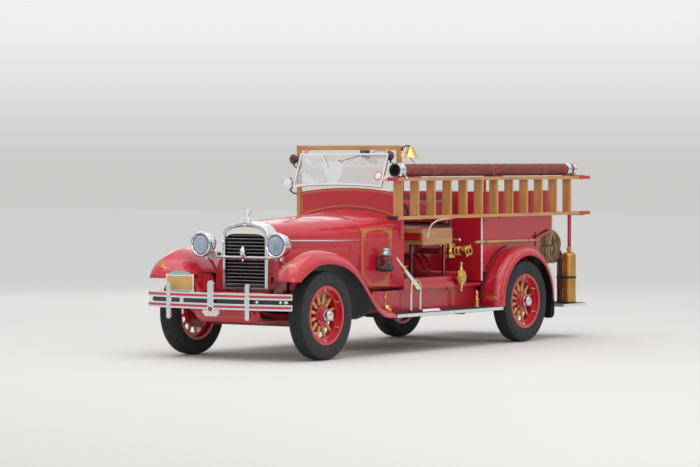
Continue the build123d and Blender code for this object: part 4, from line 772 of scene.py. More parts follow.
@piece()
def gravel_pan(made):
    """The pressed pan that drops from the apron's front edge between the springs, with a rolled rim."""
    outline = [(-0.469, 0.5115), (-0.4725, 0.5115), (-0.4745, 0.44), (-0.456, 0.37), (-0.41, 0.33),
               (-0.25, 0.318), (-0.18, 0.32), (-0.18, 0.323), (-0.25, 0.321), (-0.4085, 0.333),
               (-0.4535, 0.3715), (-0.471, 0.44)]
    rings = []
    for x, tuck in ((-0.355, 0.05), (-0.325, 0.012), (-0.28, 0.0), (0.28, 0.0), (0.325, 0.012),
                    (0.355, 0.05)):
        rings.append([at(x, a + tuck, z + tuck * (0.5115 - z) * 2) for a, z in outline])
    made.loops(rings, RED)
    made.rod(at(-0.33, -0.452, 0.432), at(0.33, -0.452, 0.432), 0.03, RED, sides=20)
    made.tube([at(x, -0.4625, 0.382) for x in (-0.28, 0.0, 0.28)], 0.0024, GOLD, sides=6)


@each_side()
def front_apron(made, way):
    """A red skirt from the front fender's inner edge down to the rail, and the cheek beside the radiator."""
    rings = []
    tops = ((0.5, -0.322, 0.735), (0.492, -0.26, 0.775), (0.48, -0.16, 0.812), (0.475, -0.08, 0.82))
    lows = ((0.372, -0.366, 0.585), (0.37, -0.26, 0.585), (0.37, -0.16, 0.59), (0.372, -0.08, 0.592))
    for top, low in zip(tops, lows):
        upper, lower = (at(way * x, a, z) for x, a, z in (top, low))
        belly = (upper + lower) / 2 + vec(way * -0.012, 0, 0.01)
        skin = vec(way * 0.0022, 0, -0.0022)
        rings.append([upper, belly, lower, lower + skin, belly + skin, upper + skin])
    made.loops(rings, RED)
    cheek = [(0.256, 0.88), (0.315, 0.868), (0.345, 0.8), (0.36, 0.7), (0.36, 0.6), (0.256, 0.6)]
    made.loops([[at(way * x, a, z) for x, z in cheek] for a in (-0.108, -0.104)], RED)


@piece()
def engine_pan(made):
    """The black pan below the engine, behind the tie rod; its black also stands as painted shade under the
    engine.
    """
    section = [(-0.205, 0.396), (-0.195, 0.335), (-0.15, 0.312), (0.15, 0.312), (0.195, 0.335),
               (0.205, 0.396)]
    rings = []
    for distance, narrow, lift in ((0.215, 0.82, 0.03), (0.235, 0.94, 0.008), (0.27, 1.0, 0.0),
                                   (0.66, 1.0, 0.0), (0.76, 0.9, 0.022)):
        rings.append([at(x * narrow, distance, z + lift * (0.396 - z) / 0.084) for x, z in section])
    # Black: the pan's own paint, and also painted shade under the engine.
    made.loops(rings, CHASSIS)


# Hood and cowl

BELT_FRONT, BELT_REAR = 1.038, 1.018
HOOD_HALF_FRONT, HOOD_HALF_REAR = 0.252, 0.42
LOUVRE_START, LOUVRE_END, LOUVRE_LOW, LOUVRE_HIGH, LOUVRES = 0.135, 0.87, 0.745, 0.955, 27


def along_hood(distance, front, rear):
    """A size that changes evenly from the hood's front to its rear."""
    return front + (rear - front) * (distance - HOOD_START) / (HOOD_TAPER_END - HOOD_START)


def on_hood(way, distance, z, proud=0.0):
    return at(way * (along_hood(distance, HOOD_HALF_FRONT, HOOD_HALF_REAR) + proud), distance, z)


@each_side("hood_{}")
def louvres(made, way):
    """Raised louvres with a maroon strip of painted shade behind each, for the shadow in its opening, inside
    a pressed border.
    """
    slope = (HOOD_HALF_REAR - HOOD_HALF_FRONT) / (HOOD_TAPER_END - HOOD_START)
    out = vec(way, -slope).normalized()
    along = vec(way * slope, 1).normalized()
    inner = (LOUVRE_LOW + 0.012, LOUVRE_HIGH - 0.012)
    for k in range(LOUVRES):
        distance = LOUVRE_START + (LOUVRE_END - LOUVRE_START) * k / (LOUVRES - 1)
        rings = []
        for z, depth in zip((LOUVRE_LOW, *inner, LOUVRE_HIGH), (0.0006, 0.01, 0.01, 0.0006)):
            middle = on_hood(way, distance, z)
            section = ((-0.0145, -0.0005), (-0.006, depth * 0.55), (0.0045, depth), (0.0045, depth - 0.0015),
                       (-0.0055, depth * 0.55 - 0.0015), (-0.012, -0.001))
            rings.append([middle + along * back + out * proud for back, proud in section])
        made.loops(rings, RED)
        # Painted shade: a maroon strip where the louvre's opening is dark.
        made.strip([on_hood(way, distance, z, 0.0006) + along * 0.0082 for z in inner], [out, out], 0.005,
                   0.0004, MAROON_AND_SHADE)
    start, end, low, high = LOUVRE_START - 0.03, LOUVRE_END + 0.03, LOUVRE_LOW - 0.022, LOUVRE_HIGH + 0.022
    made.tube([on_hood(way, d, z, 0.001) for d, z in ((start, low), (end, low), (end, high), (start, high))],
              0.0035, RED, sides=8, loop=True)


@each_side("hood_{}")
def hood_catches(made, way):
    for distance in (0.2, 0.8):
        foot = on_hood(way, distance, 0.722, 0.002)
        made.lathe(mm((0, 11), (6, 11), (10, 5), (12, 0)), foot, (way, 0, 0), CHROME, sides=16)
        made.rod(foot + vec(way * 0.008), foot + vec(way * 0.016, 0, 0.03), 0.0055, CHROME, sides=12)


@each_side("hood_{}")
def hood_hinge_and_highlight_line(made, way):
    """The hinge rod along the belt, with its knuckle joints; its bright steel also stands as a painted
    highlight along the belt.
    """
    start, end = HOOD_START + 0.004, HOOD_END - 0.004
    front, rear = (on_hood(way, d, along_hood(d, BELT_FRONT, BELT_REAR)) for d in (start, end))
    # Bright steel: the hinge rod, and also a painted highlight along the belt.
    made.rod(front, rear, 0.0068, STEEL, sides=14)
    axis = (rear - front).normalized()
    for k in range(1, 18):
        middle = front.lerp(rear, k / 18)
        made.rod(middle - axis * 0.0012, middle + axis * 0.0012, 0.0074, GREY_METAL, sides=14)


PANEL = [(1.047, 1.121), (1.352, 1.123), (1.331, 0.88), (1.312, 0.612), (1.13, 0.618), (1.052, 0.712),
         (1.043, 0.93)]


@each_side()
def cowl_stripes(made, way):
    """Gold lines round the cowl's side and over its shoulder, with curls in the corners."""
    skin = skin_of(nodes["cowl"])
    push = vec(-way)

    def outside(place):
        return at(way * 0.8, *place)
    for inset, width in ((0.0, 0.005), (0.013, 0.002)):
        ring = []
        for place in PANEL:
            inward = [math.copysign(inset, m - p) for m, p in zip((1.19, 0.87), place)]
            ring.append(Vector(place) + Vector(inward))
        for start, end in zip(ring, ring[1:] + ring[:1]):
            drape(made, skin, [outside(start.lerp(end, k / 8)) for k in range(9)], push, width, GOLD)
    for place, along, across in (((1.062, 1.106), AFT, -UP), ((1.336, 1.108), FORE, -UP),
                                 ((1.298, 0.628), FORE, UP)):
        for first, second in ((along, across), (across, along)):
            for size, sway in ((0.085, 0.2), (0.05, 0.34)):
                drape(made, skin, curl(outside(place), first, second, size, sway), push, 0.0045, GOLD)


# Windshield, bell, lamps on the posts

SASH_TOP = (1.378, 1.808)
SASH_TILT = math.radians(22)


@piece()
def marker_lamps(made):
    """Two dark marker lamps in front of the posts, each on a bent black bracket."""
    for side, place, radius in ((-1, at(-0.6, 1.404, 1.757), 0.042), (1, at(0.492, 1.404, 1.789), 0.04)):
        made.lathe([(-0.034, 0.0), (-0.032, 0.016), (-0.022, radius * 0.72), (-0.006, radius * 0.94),
                    (0.006, radius)], place, FORE, MAROON_AND_SHADE, sides=28)
        made.ring(place + vec(y=-0.006), AFT, radius, 0.004, BLACK, sides=32)
        made.lathe([(0.006, radius * 0.96), (0.014, radius * 0.8), (0.02, radius * 0.45), (0.022, 0.0)],
                   place, FORE, DARK_LENS, sides=28)
        post = vec(side * 0.563, aft(1.43), place.z - 0.072)
        low = place + vec(0, 0.004, -radius)
        made.tube([low, low + vec(z=-0.022), (low + post) / 2 + vec(z=-0.022), post], 0.007, BLACK)
        made.ball(low + vec(z=-0.004), 0.01, BLACK)


@piece()
def spotlight(made):
    """A bowl with a pale lens that faces forwards, on a bent arm from the right post."""
    centre = at(-0.65, 1.368, 1.527)
    made.lathe(mm((-74, 0), (-70, 20), (-50, 44), (-20, 58), (-14, 59)), centre, FORE, CHROME, sides=36)
    made.ring(centre + vec(y=0.012), AFT, 0.0605, 0.005, BLACK, sides=40)
    made.lathe(mm((-10, 60), (2, 62), (10, 60), (12, 54), (5, 51)), centre, FORE, CHROME, sides=40)
    made.lathe(mm((5, 52), (10, 40), (14, 20), (15, 0)), centre, FORE, PALE_LENS, sides=36)
    foot = vec(-0.582, aft(1.443), 1.435)
    made.tube([centre + vec(0, 0.05, -0.04), at(-0.648, 1.424, 1.458), at(-0.626, 1.44, 1.438), foot], 0.008,
              BLACK)
    made.box(foot - vec(0.006, 0.012, 0.018), foot + vec(0.0, 0.012, 0.018), BLACK, bevel=0.003)


@piece()
def bell(made):
    top = at(0.612, 1.552, 1.88)
    outer = mm((-4, 0), (-5, 20), (-10, 30), (-30, 37), (-60, 50), (-84, 63), (-98, 78), (-105, 85),
               (-107.5, 85))
    inner = mm((-104, 78), (-84, 57), (-60, 44), (-30, 31), (-14, 22), (-12, 0))
    made.lathe(outer + inner, top, UP, BRASS, sides=44)
    made.lathe(mm((-6, 12), (-1, 12), (3, 7), (3, 0)), top, UP, BRASS, sides=20)
    made.rod(top + vec(z=-0.012), top + vec(z=-0.088), 0.004, GREY_METAL, sides=10)
    made.ball(top + vec(z=-0.094), 0.013, GREY_METAL)
    made.tube([top + vec(z=-0.002), top + vec(-0.014, -0.045), top + vec(-0.028, -0.08, -0.012),
               at(0.583, 1.4585, 1.852)], 0.0075, BLACK)
    made.box(at(0.568, 1.459, 1.835), at(0.598, 1.4635, 1.872), BLACK, bevel=0.002)


@piece()
def bell_pull(made):
    """A bent wire from the clapper to the hose's first clip, fixed at both ends."""
    made.tube([at(0.612, 1.552, 1.776), at(0.625, 1.545, 1.762), at(0.69, 1.49, 1.735),
               at(0.752, 1.415, 1.726), at(0.795, 1.366, 1.698), at(0.803, 1.361, 1.668)], 0.0035, BLACK,
              sides=10)


def on_sash(x, z, proud=0.0):
    """A place on the tilted glass, that far in front of it."""
    return at(x, SASH_TOP[0] - (SASH_TOP[1] - z) * math.tan(SASH_TILT) - proud, z)


@piece()
def wiper(made):
    """The motor hangs under the header with its arm; the other blade lies on the glass."""
    motor = at(0.2, 1.404, 1.804)
    disc = motor + vec(0.048, -0.012, -0.016)
    shaft = motor + vec(0.01, -0.03)
    made.lathe(mm((-30, 0), (-30, 22), (-20, 30), (20, 30), (28, 22), (30, 0)), motor, LEFT, BLACK, sides=28)
    made.box(motor + vec(-0.045, -0.004, 0.01), motor + vec(0.05, 0.022, 0.036), BLACK, bevel=0.005)
    made.rod(shaft, motor + vec(0.01), 0.016, GREY_METAL, sides=20)
    made.ring(disc, AFT, 0.024, 0.004, GREY_METAL, sides=28)
    made.lathe(mm((-3, 0), (-3, 21), (3, 21), (3, 0)), disc, AFT, PLATE_GREY, sides=28)
    made.tube([shaft, motor + vec(-0.08, -0.032, -0.028), at(-0.028, 1.372, 1.742)], 0.0035, BLACK, sides=10)
    made.box(at(-0.055, 1.352, 1.731), at(0, 1.358, 1.739), BLACK, bevel=0.002,
             turn=Matrix.Rotation(0.5, 3, "Y"))
    made.tube([motor + vec(0.05, 0.01, 0.01), motor + vec(0.085, 0.004, -0.006),
               motor + vec(0.1, 0.006, 0.016), motor + vec(0.13, 0.014, 0.03), at(0.43, 1.415, 1.836)],
              0.0032, BLACK, sides=8)
    top, low = on_sash(-0.243, 1.796, 0.011), on_sash(-0.152, 1.69, 0.011)
    made.rod(top, low, 0.0055, CREAM, sides=10)
    made.rod(top + vec(0.004, 0.004, 0.002), low + vec(0.004, 0.004, 0.002), 0.0045, BLACK, sides=8)


def star_nut(made, centre, axis):
    made.lathe(mm((-10, 0), (-10, 11), (6, 13), (12, 7), (12, 0)), centre, axis, CHROME, sides=18)
    turn = Vector(axis).normalized().to_track_quat("Z", "Y")
    for t in turns(4, math.pi / 4):
        reach = turn @ vec(math.cos(t), math.sin(t))
        made.rod(centre + reach * 0.008, centre + reach * 0.026, 0.0055, CHROME, end_radius=0.0035, sides=10)


@piece()
def sash_stays(made):
    """The arms that hold the swung-out sash, with a star nut at each end."""
    for way in (-1, 1):
        post = at(way * 0.536, 1.443, 1.655)
        low = on_sash(way * 0.512, 1.575)
        made.rod(post, low, 0.0065, CHROME, sides=14)
        star_nut(made, post + vec(way * -0.004, -0.004), (-way, 0, 0))
        star_nut(made, low, (way, 0, 0))
        made.box(at(way * 0.5445, 1.434, 1.64), at(way * 0.5405, 1.452, 1.67), CHROME)


@piece()
def glass_disc(made):
    """A blank white disc with a red rim, low on the glass."""
    out = vec(0, -math.cos(SASH_TILT), math.sin(SASH_TILT))
    centre = on_sash(0.434, 1.606, 0.0045)
    made.lathe(mm((0, 33), (0.6, 33), (0.6, 0)), centre, out, CREAM, sides=32)
    made.lathe(mm((0, 33.5), (0, 41), (0.7, 41), (0.7, 33.5)), centre, out, RED, sides=32, closed=True)


@piece()
def post_bolts(made):
    """Bolts through the posts, and a bracket at each end of the header."""
    for way in (-1, 1):
        for z in (1.7, 1.79):
            made.lathe(mm((0, 9), (3, 9), (6, 4), (6, 0)), (way * 0.582, aft(1.443), z), (way, 0, 0), CHROME,
                       sides=16)
        made.box(at(way * 0.5445, 1.432, 1.8), at(way * 0.5415, 1.454, 1.842), STEEL)
        made.box(at(way * 0.505, 1.432, 1.839), at(way * 0.5445, 1.454, 1.842), STEEL)
        for x in (-0.05, 0.05):
            made.lathe(mm((0, 9), (4, 6), (5, 0)), at(way * (0.4 + x), 1.4245, 1.863), FORE, OLD_BRASS,
                       sides=14)


@piece()
def sign_border(made):
    """Gold lines round the blank board."""
    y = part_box("sign_board")[0][1] - 0.0006
    half = 0.5437
    for inset, width in ((0.016, 0.004), (0.026, 0.0016)):
        def line(*ends):
            points = [(x, y, z - sag * (x / half) ** 2) for x, z, sag in ends]
            made.strip(points, [FORE] * len(points), width, 0.0008, GOLD)
        top, low = (1.492 - inset, 0.04), (1.309 + inset, 0.096)
        for edge in (top, low):
            line(*(((half - inset) * (k / 12 - 1), *edge) for k in range(25)))
        for x in (inset - half, half - inset):
            line((x, *low), (x, *top))


# Seat

SEAT_CAP = 0.026
BACK_CAP = 0.022


def cushion_shape(corners):
    """A closed block between eight corners, low ring then high ring, with rounded edges."""
    mesh = bmesh.new()
    made = [mesh.verts.new(corner) for corner in corners]
    for face in ((3, 2, 1, 0), (4, 5, 6, 7), (0, 1, 5, 4), (1, 2, 6, 5), (2, 3, 7, 6), (3, 0, 4, 7)):
        mesh.faces.new([made[k] for k in face])
    bmesh.ops.recalc_face_normals(mesh, faces=mesh.faces)
    bmesh.ops.bevel(mesh, geom=list(mesh.edges), offset=0.022, segments=4, profile=0.6, affect="EDGES")
    data = bpy.data.meshes.new("cushion")
    mesh.to_mesh(data)
    mesh.free()
    thing = bpy.data.objects.new("cushion", data)
    bpy.context.scene.collection.objects.link(thing)
    return thing


def settled(thing):
    """The thing's mesh as its modifiers leave it."""
    graph = bpy.context.evaluated_depsgraph_get()
    return bpy.data.meshes.new_from_object(thing.evaluated_get(graph))


def swell(thing, cap, low, high):
    """Pads a shape out with air, moving no point further than cap and none outside its space."""
    remesh = thing.modifiers.new("remesh", "REMESH")
    remesh.mode = "VOXEL"
    remesh.voxel_size = 0.01
    start = settled(thing)
    thing.modifiers.clear()
    thing.data = start
    before = [vertex.co.copy() for vertex in start.vertices]
    cloth = thing.modifiers.new("cloth", "CLOTH")
    cloth.settings.use_pressure = True
    cloth.settings.uniform_pressure_force = 4.0
    cloth.settings.effector_weights.gravity = 0.0
    cloth.point_cache.frame_end = 20
    scene = bpy.context.scene
    for step in range(1, 21):
        scene.frame_set(step)
    swollen = settled(thing)
    thing.modifiers.clear()
    scene.frame_set(1)
    for vertex, old in zip(swollen.vertices, before):
        move = vertex.co - old
        if move.length > cap:
            move = move * (cap / move.length)
        place = old + move
        vertex.co = [min(max(c, l), h) for c, l, h in zip(place, low, high)]
    thing.data = swollen


def channels(thing, xs, face, depth=0.007):
    """Presses sewn channels into the side of the cushion that face points to."""
    for vertex in thing.data.vertices:
        share = max(0.0, vertex.normal.dot(face))
        near = max((math.exp(-((vertex.co.x - x) / 0.011) ** 2) for x in xs), default=0.0)
        vertex.co -= face * depth * share * near


def finish_cushion(thing, name):
    refine = thing.modifiers.new("refine", "SUBSURF")
    refine.levels = refine.render_levels = 1
    data = settled(thing)
    thing.modifiers.clear()
    thing.data = data
    thing.name = data.name = name
    data.materials.clear()
    data.materials.append(LEATHER)
    data.shade_smooth()
    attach(thing, "chassis")
    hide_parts("seat_cushions")


def piping(name, thing, corners):
    """A sewn cord round a cushion's edge, laid on the surface below it."""
    skin = skin_of(thing)
    ring = []
    for start, end in zip(corners, corners[1:] + corners[:1]):
        for k in range(16):
            ring.append(skin.find_nearest(Vector(start).lerp(Vector(end), k / 16))[0])
    made = Piece()
    made.tube(ring, 0.0045, PIPING, sides=8, loop=True)
    made.done(name)


def rectangle(half, near, far):
    """Four corners across the vehicle, from one (distance, z) to another."""
    return [at(-half, *near), at(half, *near), at(half, *far), at(-half, *far)]


def seat():
    """The cushion and the back, each with its piping."""
    block = cushion_shape(rectangle(0.485, (1.915, 1.008), (2.365, 1.008))
                          + rectangle(0.485, (1.915, 1.106), (2.365, 1.1)))
    swell(block, SEAT_CAP, at(-0.497, 1.9025, 1.0015), at(0.497, 2.377, 1.14))
    channels(block, [0.165 * k for k in range(-2, 3)], UP)
    finish_cushion(block, "seat_cushion")
    piping("seat_piping", block, rectangle(0.49, (1.91, 1.112), (2.37, 1.112)))
    block = cushion_shape(rectangle(0.508, (2.336, 1.143), (2.4, 1.143))
                          + rectangle(0.508, (2.41, 1.395), (2.456, 1.395)))
    swell(block, BACK_CAP, at(-0.52, 2.306, 1.134), at(0.52, 2.466, 1.418))
    channels(block, [0.105 * k for k in range(-4, 5)], vec(0, -0.96, 0.28))
    finish_cushion(block, "seat_back")
    piping("seat_back_piping", block, rectangle(0.51, (2.33, 1.145), (2.405, 1.4)))


seat()


def tack(made, place, out, sides=14):
    """A small round brass head."""
    made.lathe(mm((0, 6), (2, 5), (3, 0)), place, out, OLD_BRASS, sides)


@piece()
def seat_front_rail(made):
    """The wooden rail in front of the cushion, with the red panel set back below it."""
    made.box(at(-0.52, 1.884, 1.07), at(0.52, 1.8995, 1.111), WOOD_ACROSS, bevel=0.003)
    made.box(at(-0.4975, 1.892, 1.0015), at(0.4975, 1.8995, 1.0695), RED, bevel=0.001)
    for x in (-0.46, -0.23, 0.0, 0.23, 0.46):
        tack(made, at(x, 1.884, 1.09), FORE)
    for way in (-1, 1):
        for distance in (1.935, 2.15, 2.36):
            for z in (1.0, 1.085):
                tack(made, at(way * 0.52, distance, z), (way, 0, 0))


@piece()
def grab_rail(made):
    """The white bent tube from the seat's side board up towards the ladder."""
    path = [at(0.524, 1.975, 1.045), at(0.535, 1.98, 1.1), at(0.56, 1.99, 1.15), at(0.59, 2.03, 1.185),
            at(0.615, 2.11, 1.2), at(0.645, 2.19, 1.2045)]
    made.tube(path, 0.0075, CREAM, sides=12)
    made.box(at(0.5203, 1.962, 1.03), at(0.5275, 1.99, 1.066), STEEL, bevel=0.002)
    made.box(at(0.635, 2.176, 1.2035), at(0.665, 2.21, 1.2115), STEEL, bevel=0.002)


# Dash, levers and pedals

@piece()
def dash_instruments(made):
    y = 1.4712
    for x, z, radius in ((0.02, 1.272, 0.042), (-0.1, 1.275, 0.03), (0.14, 1.275, 0.03)):
        centre = at(x, y, z)
        made.ring(centre, AFT, radius, 0.0035, CHROME, sides=32)
        made.lathe([(0, radius), (0.002, radius), (0.002, 0.0)], centre, AFT, BLACK, sides=28)
        made.box(centre + vec(-0.001, 0.002), centre + vec(0.001, 0.003, radius * 0.7), CREAM)
    for x in (-0.18, -0.22, 0.21):
        made.rod(at(x, 1.47, 1.262), at(x, 1.492, 1.262), 0.004, CHROME, sides=10)
        made.ball(at(x, 1.496, 1.262), 0.01, BLACK)


@piece()
def levers_and_pedals(made):
    floor_z = 0.6605
    made.lathe(mm((0, 45), (8, 43), (20, 26), (42, 18)), at(0.02, 1.7, floor_z), UP, BLACK)
    made.tube([at(0.02, 1.7, floor_z + 0.03), at(0.02, 1.72, 0.8), at(0.03, 1.79, 0.95),
               at(0.03, 1.81, 1.015)], 0.007, GREY_METAL, sides=12)
    made.ball(at(0.03, 1.812, 1.022), 0.019, BLACK)
    made.box(at(-0.085, 1.66, floor_z), at(-0.055, 1.74, floor_z + 0.02), BLACK, bevel=0.003)
    made.tube([at(-0.07, 1.7, floor_z + 0.01), at(-0.075, 1.72, 0.82), at(-0.08, 1.77, 0.98)], 0.008,
              GREY_METAL, sides=12)
    made.rod(at(-0.08, 1.77, 0.98), at(-0.08, 1.787, 1.035), 0.011, BLACK, sides=14)
    made.tube([at(-0.08, 1.755, 0.915), at(-0.08, 1.742, 0.975), at(-0.08, 1.757, 1.006)], 0.003, CHROME,
              sides=8)
    for x in (0.205, 0.385):
        made.tube([at(x, 1.512, 0.69), at(x, 1.532, 0.745), at(x, 1.56, 0.785)], 0.007, GREY_METAL, sides=10)
        made.lathe(mm((0, 0), (0, 34), (6, 36), (8, 30), (8, 0)), at(x, 1.559, 0.785), (0, 0.75, 0.5), BLACK,
                   sides=24)
    made.tube([at(0.118, 1.518, 0.675), at(0.118, 1.56, 0.735)], 0.005, GREY_METAL, sides=10)
    made.box(at(0.096, 1.552, 0.69), at(0.14, 1.558, 0.775), BLACK, bevel=0.003,
             turn=Matrix.Rotation(math.radians(38), 3, "X"))


@piece("steering_wheel")
def steering_wheel_boss(made):
    """The boss of the steering wheel, with its button."""
    angle = math.radians(48)
    centre = at(0.3, 1.645, 1.32)
    up = vec(0, math.cos(angle), math.sin(angle))
    made.lathe(mm((-10, 30), (16, 30), (22, 24), (24, 12), (24, 0)), centre, up, BLACK, sides=28)
    made.lathe(mm((24, 11), (29, 10), (31, 0)), centre, up, GREY_METAL, sides=20)


# The left side: lantern, play pipe, brass pieces

@piece()
def lantern(made):
    """A railway lantern on a bracket from the cowl: tin cap, red globe, dark base."""
    foot = at(0.59, 1.19, 0.737)
    made.lathe(mm((0, 0), (0, 50), (12, 60), (20, 79), (34, 80), (46, 70), (56, 50), (66, 46)), foot, UP,
               TIN_DARK, sides=36)
    made.lathe(mm((66, 40), (80, 46), (105, 48), (130, 44), (148, 36)), foot, UP, RED_GLOBE, sides=32)
    made.lathe(mm((146, 44), (150, 64), (156, 64), (164, 44), (178, 34), (190, 32), (196, 36), (208, 34),
                  (216, 24), (219, 0)), foot, UP, TIN, sides=32)
    for t in turns(4, math.pi / 4):
        bends = ((0.0486, 0.06), (0.054, 0.105), (0.0486, 0.15))
        wire_path = [foot + vec(reach * math.cos(t), reach * math.sin(t), z) for reach, z in bends]
        made.tube(wire_path, 0.0022, TIN_DARK, sides=6)
    made.ring(foot + vec(z=0.107), UP, 0.054, 0.0022, TIN_DARK, sides=32, around=6)
    for z in (0.01, 0.128):
        made.rod(foot + vec(-0.048, 0, z), at(0.486, 1.2, 0.737 + z), 0.006, BLACK, sides=10)
    made.box(at(0.4845, 1.192, 0.742), at(0.4925, 1.208, 0.872), BLACK, bevel=0.002)


@piece()
def play_pipe(made):
    """The tapered nozzle, held by a brass arch on two pale posts."""
    tip, collar, base = at(0.7, 1.201, 0.861), at(0.71, 1.294, 0.775), at(0.74, 1.49, 0.573)
    axis = (tip - base).normalized()
    full = (tip - base).length
    middle = (collar - base).length
    made.lathe([(0.0, 0.0), (0.0, 0.024), (0.012, 0.03), (0.04, 0.03), (0.046, 0.027), (middle * 0.5, 0.024),
                (middle - 0.02, 0.017)], base, axis, NICKEL, sides=28)
    made.lathe([(middle - 0.024, 0.017), (middle - 0.02, 0.022), (middle + 0.004, 0.022),
                (middle + 0.012, 0.016), (middle + 0.024, 0.014)], base, axis, BRASS, sides=24)
    made.lathe([(middle + 0.022, 0.0125), (full - 0.018, 0.009), (full - 0.016, 0.011), (full, 0.011),
                (full, 0.007), (full - 0.02, 0.0065), (full - 0.02, 0.0)], base, axis, NICKEL, sides=20)
    made.rod(collar + vec(0.01), collar + vec(0.04, 0.014, 0.012), 0.004, BRASS, sides=10)
    made.lathe(mm((-12, 0), (-12, 16), (0, 22)), base, axis, BLACK, sides=24)
    arch, half = at(0.74, 1.4545, 0.578), 0.0755
    for way in (-1, 1):
        foot = vec(arch.x, arch.y + way * half, BOARD_TOP)
        made.rod(foot + vec(z=0.002), foot + vec(z=0.192), 0.0085, CREAM, sides=16)
        made.lathe(mm((0, 20), (6, 20), (10, 12), (20, 11)), foot, UP, BLACK, sides=18)
        made.lathe(mm((0, 12), (10, 15), (22, 15), (30, 11.5), (36, 11.5)), foot + vec(z=0.185), UP, BRASS,
                   sides=18)
    made.tube(arc(arch, half, 0, 180, 16), 0.011, BRASS, sides=14)
    made.box(at(0.7585, 1.395, 0.6), at(0.7625, 1.515, 0.606), BRASS)
    for distance in (1.405, 1.505):
        made.rod(at(0.738, distance, 0.603), at(0.762, distance, 0.603), 0.005, BRASS, sides=10)


@piece()
def brass_cock(made):
    """A brass pet cock behind the front fender: a rod down to a round body."""
    made.lathe(mm((-150, 0), (-150, 8), (-100, 8), (-60, 10), (-52, 16), (-40, 16), (-34, 10), (0, 9),
                  (6, 12), (10, 0)), at(0.724, 0.984, 0.558), (0, 0.06, 1), OLD_BRASS, sides=20)
    made.ball(at(0.738, 0.992, 0.418), 0.03, BRASS, squash=0.85, axis=(1, 0, 0.3))
    made.lathe(mm((0, 18), (16, 18), (22, 12), (30, 12)), at(0.745, 1.0, 0.41), (0.5, 0.5, -0.5), BRASS,
               sides=6)
    made.rod(at(0.724, 0.976, 0.43), at(0.7, 0.974, 0.42), 0.009, OLD_BRASS, sides=12)


@piece()
def board_nozzle(made):
    made.lathe(mm((0, 30), (10, 30), (14, 22), (60, 19), (66, 24), (78, 24), (84, 15), (115, 10), (122, 14),
                  (132, 14), (140, 12), (160, 8.5), (160, 0)), at(0.7, 2.55, BOARD_TOP), UP, BRASS, sides=28)


@piece()
def valve_parts(made):
    """The valve's rounded body, its flanges and bolts, the coupling's lugs and the cap's tapered handles."""
    valve = at(0.43, 2.5, 0.892)
    made.ball(valve, 0.058, BRASS, squash=0.92)
    for lift in (-0.06, 0.06):
        made.lathe(mm((-5, 0), (-5, 53), (5, 53), (5, 0)), valve + vec(z=lift), UP, BRASS, sides=28)
        for t in turns(6, math.radians(20)):
            bolt = valve + vec(0.046 * math.cos(t), 0.046 * math.sin(t), lift - 0.009)
            made.rod(bolt, bolt + vec(z=0.018), 0.0055, OLD_BRASS, sides=6)
    made.lathe(mm((-62, 52), (-56, 58), (-50, 52)), valve, LEFT, BRASS, sides=28, closed=True)
    made.ball(valve + vec(z=0.107), 0.019, CHROME)
    made.rod(valve + vec(z=0.073), valve + vec(z=0.098), 0.017, OLD_BRASS, sides=8)
    for x, radius in ((0.075, 0.038), (0.115, 0.041), (0.202, 0.042)):
        made.ring(valve + vec(x), LEFT, radius, 0.006, BRASS, sides=32)
    for t in turns(2, math.radians(60)):
        made.rod(turned(valve, 0.21, 0.036, t), turned(valve, 0.21, 0.062, t), 0.008, BRASS, sides=12)
    cap = at(0.628, 2.39, 0.65)
    for turn in (-1, 1):
        made.lathe(mm((52, 22), (75, 20), (105, 12.5), (126, 12.5), (132, 15.5), (140, 12), (142, 0)), cap,
                   (0, 0, turn), BRASS, sides=20)
    made.ring(cap + vec(0.006), LEFT, 0.066, 0.004, BRASS, sides=40)
    made.lathe(mm((26, 20), (32, 18), (34, 0)), cap, LEFT, BRASS, sides=24)


@piece()
def panel_seams(made):
    """The seam across each splash panel."""
    for way in (-1, 1):
        made.box(at(way * 0.5462, 1.489, 0.366), at(way * 0.5476, 1.493, 0.545), DARK_RED)


@piece()
def board_ribs(made):
    """Bright step plates at the running boards' outer edge, and the mats' ribs."""
    for way in (-1, 1):
        rings = []
        for x, low, high in ((0.752, 1.54, 1.784), (0.764, 1.52, 1.804), (0.782, 1.504, 1.82)):
            z = BOARD_TOP + (0.0245 if x < 0.782 else 0.004)
            rings.append([at(way * x, low, BOARD_TOP + 0.0005), at(way * x, high, BOARD_TOP + 0.0005),
                          at(way * x, high - 0.006, z), at(way * x, low + 0.006, z)])
        made.loops(rings, CHROME)
        for k in range(15):
            x = 0.56 + 0.0165 * k
            made.box(at(way * x - 0.003, 1.06, BOARD_TOP), at(way * x + 0.003, 2.79, BOARD_TOP + 0.0015), MAT)


# Ladder and suction hose

def on_hose(distance, angle, radius=HOSE_R):
    return at(HOSE_X + radius * math.cos(angle), distance, HOSE_Z + radius * math.sin(angle))


@piece()
def hose_clips(made):
    """Red clips that hold the hose to the ladder."""
    for distance in (1.36, 2.738, 3.995):
        outer = [on_hose(distance, math.radians(t), HOSE_R + 0.0012) for t in range(-62, 31, 8)]
        for first, second in zip(outer, outer[1:]):
            made.rod(first, second, 0.006, RED, sides=8)
        foot = at(0.797, distance, 1.5925)
        made.box(foot + vec(-0.018, -0.015), foot + vec(0.004, 0.015, 0.01), RED, bevel=0.002)
        made.rod(foot + vec(-0.004, 0, 0.008), outer[0], 0.006, RED, sides=10)
        made.ball(outer[-1], 0.01, RED)


@piece()
def hose_ties(made):
    """Thin wires round the hose."""
    for distance in (1.686, 2.701, 3.645):
        made.ring(at(HOSE_X, distance, HOSE_Z), AFT, HOSE_R + 0.0008, 0.0016, ROPE, sides=40, around=6)
        made.rod(on_hose(distance, -0.3, HOSE_R + 0.001), at(0.803, distance + 0.005, 1.56), 0.0016, ROPE,
                 sides=6)


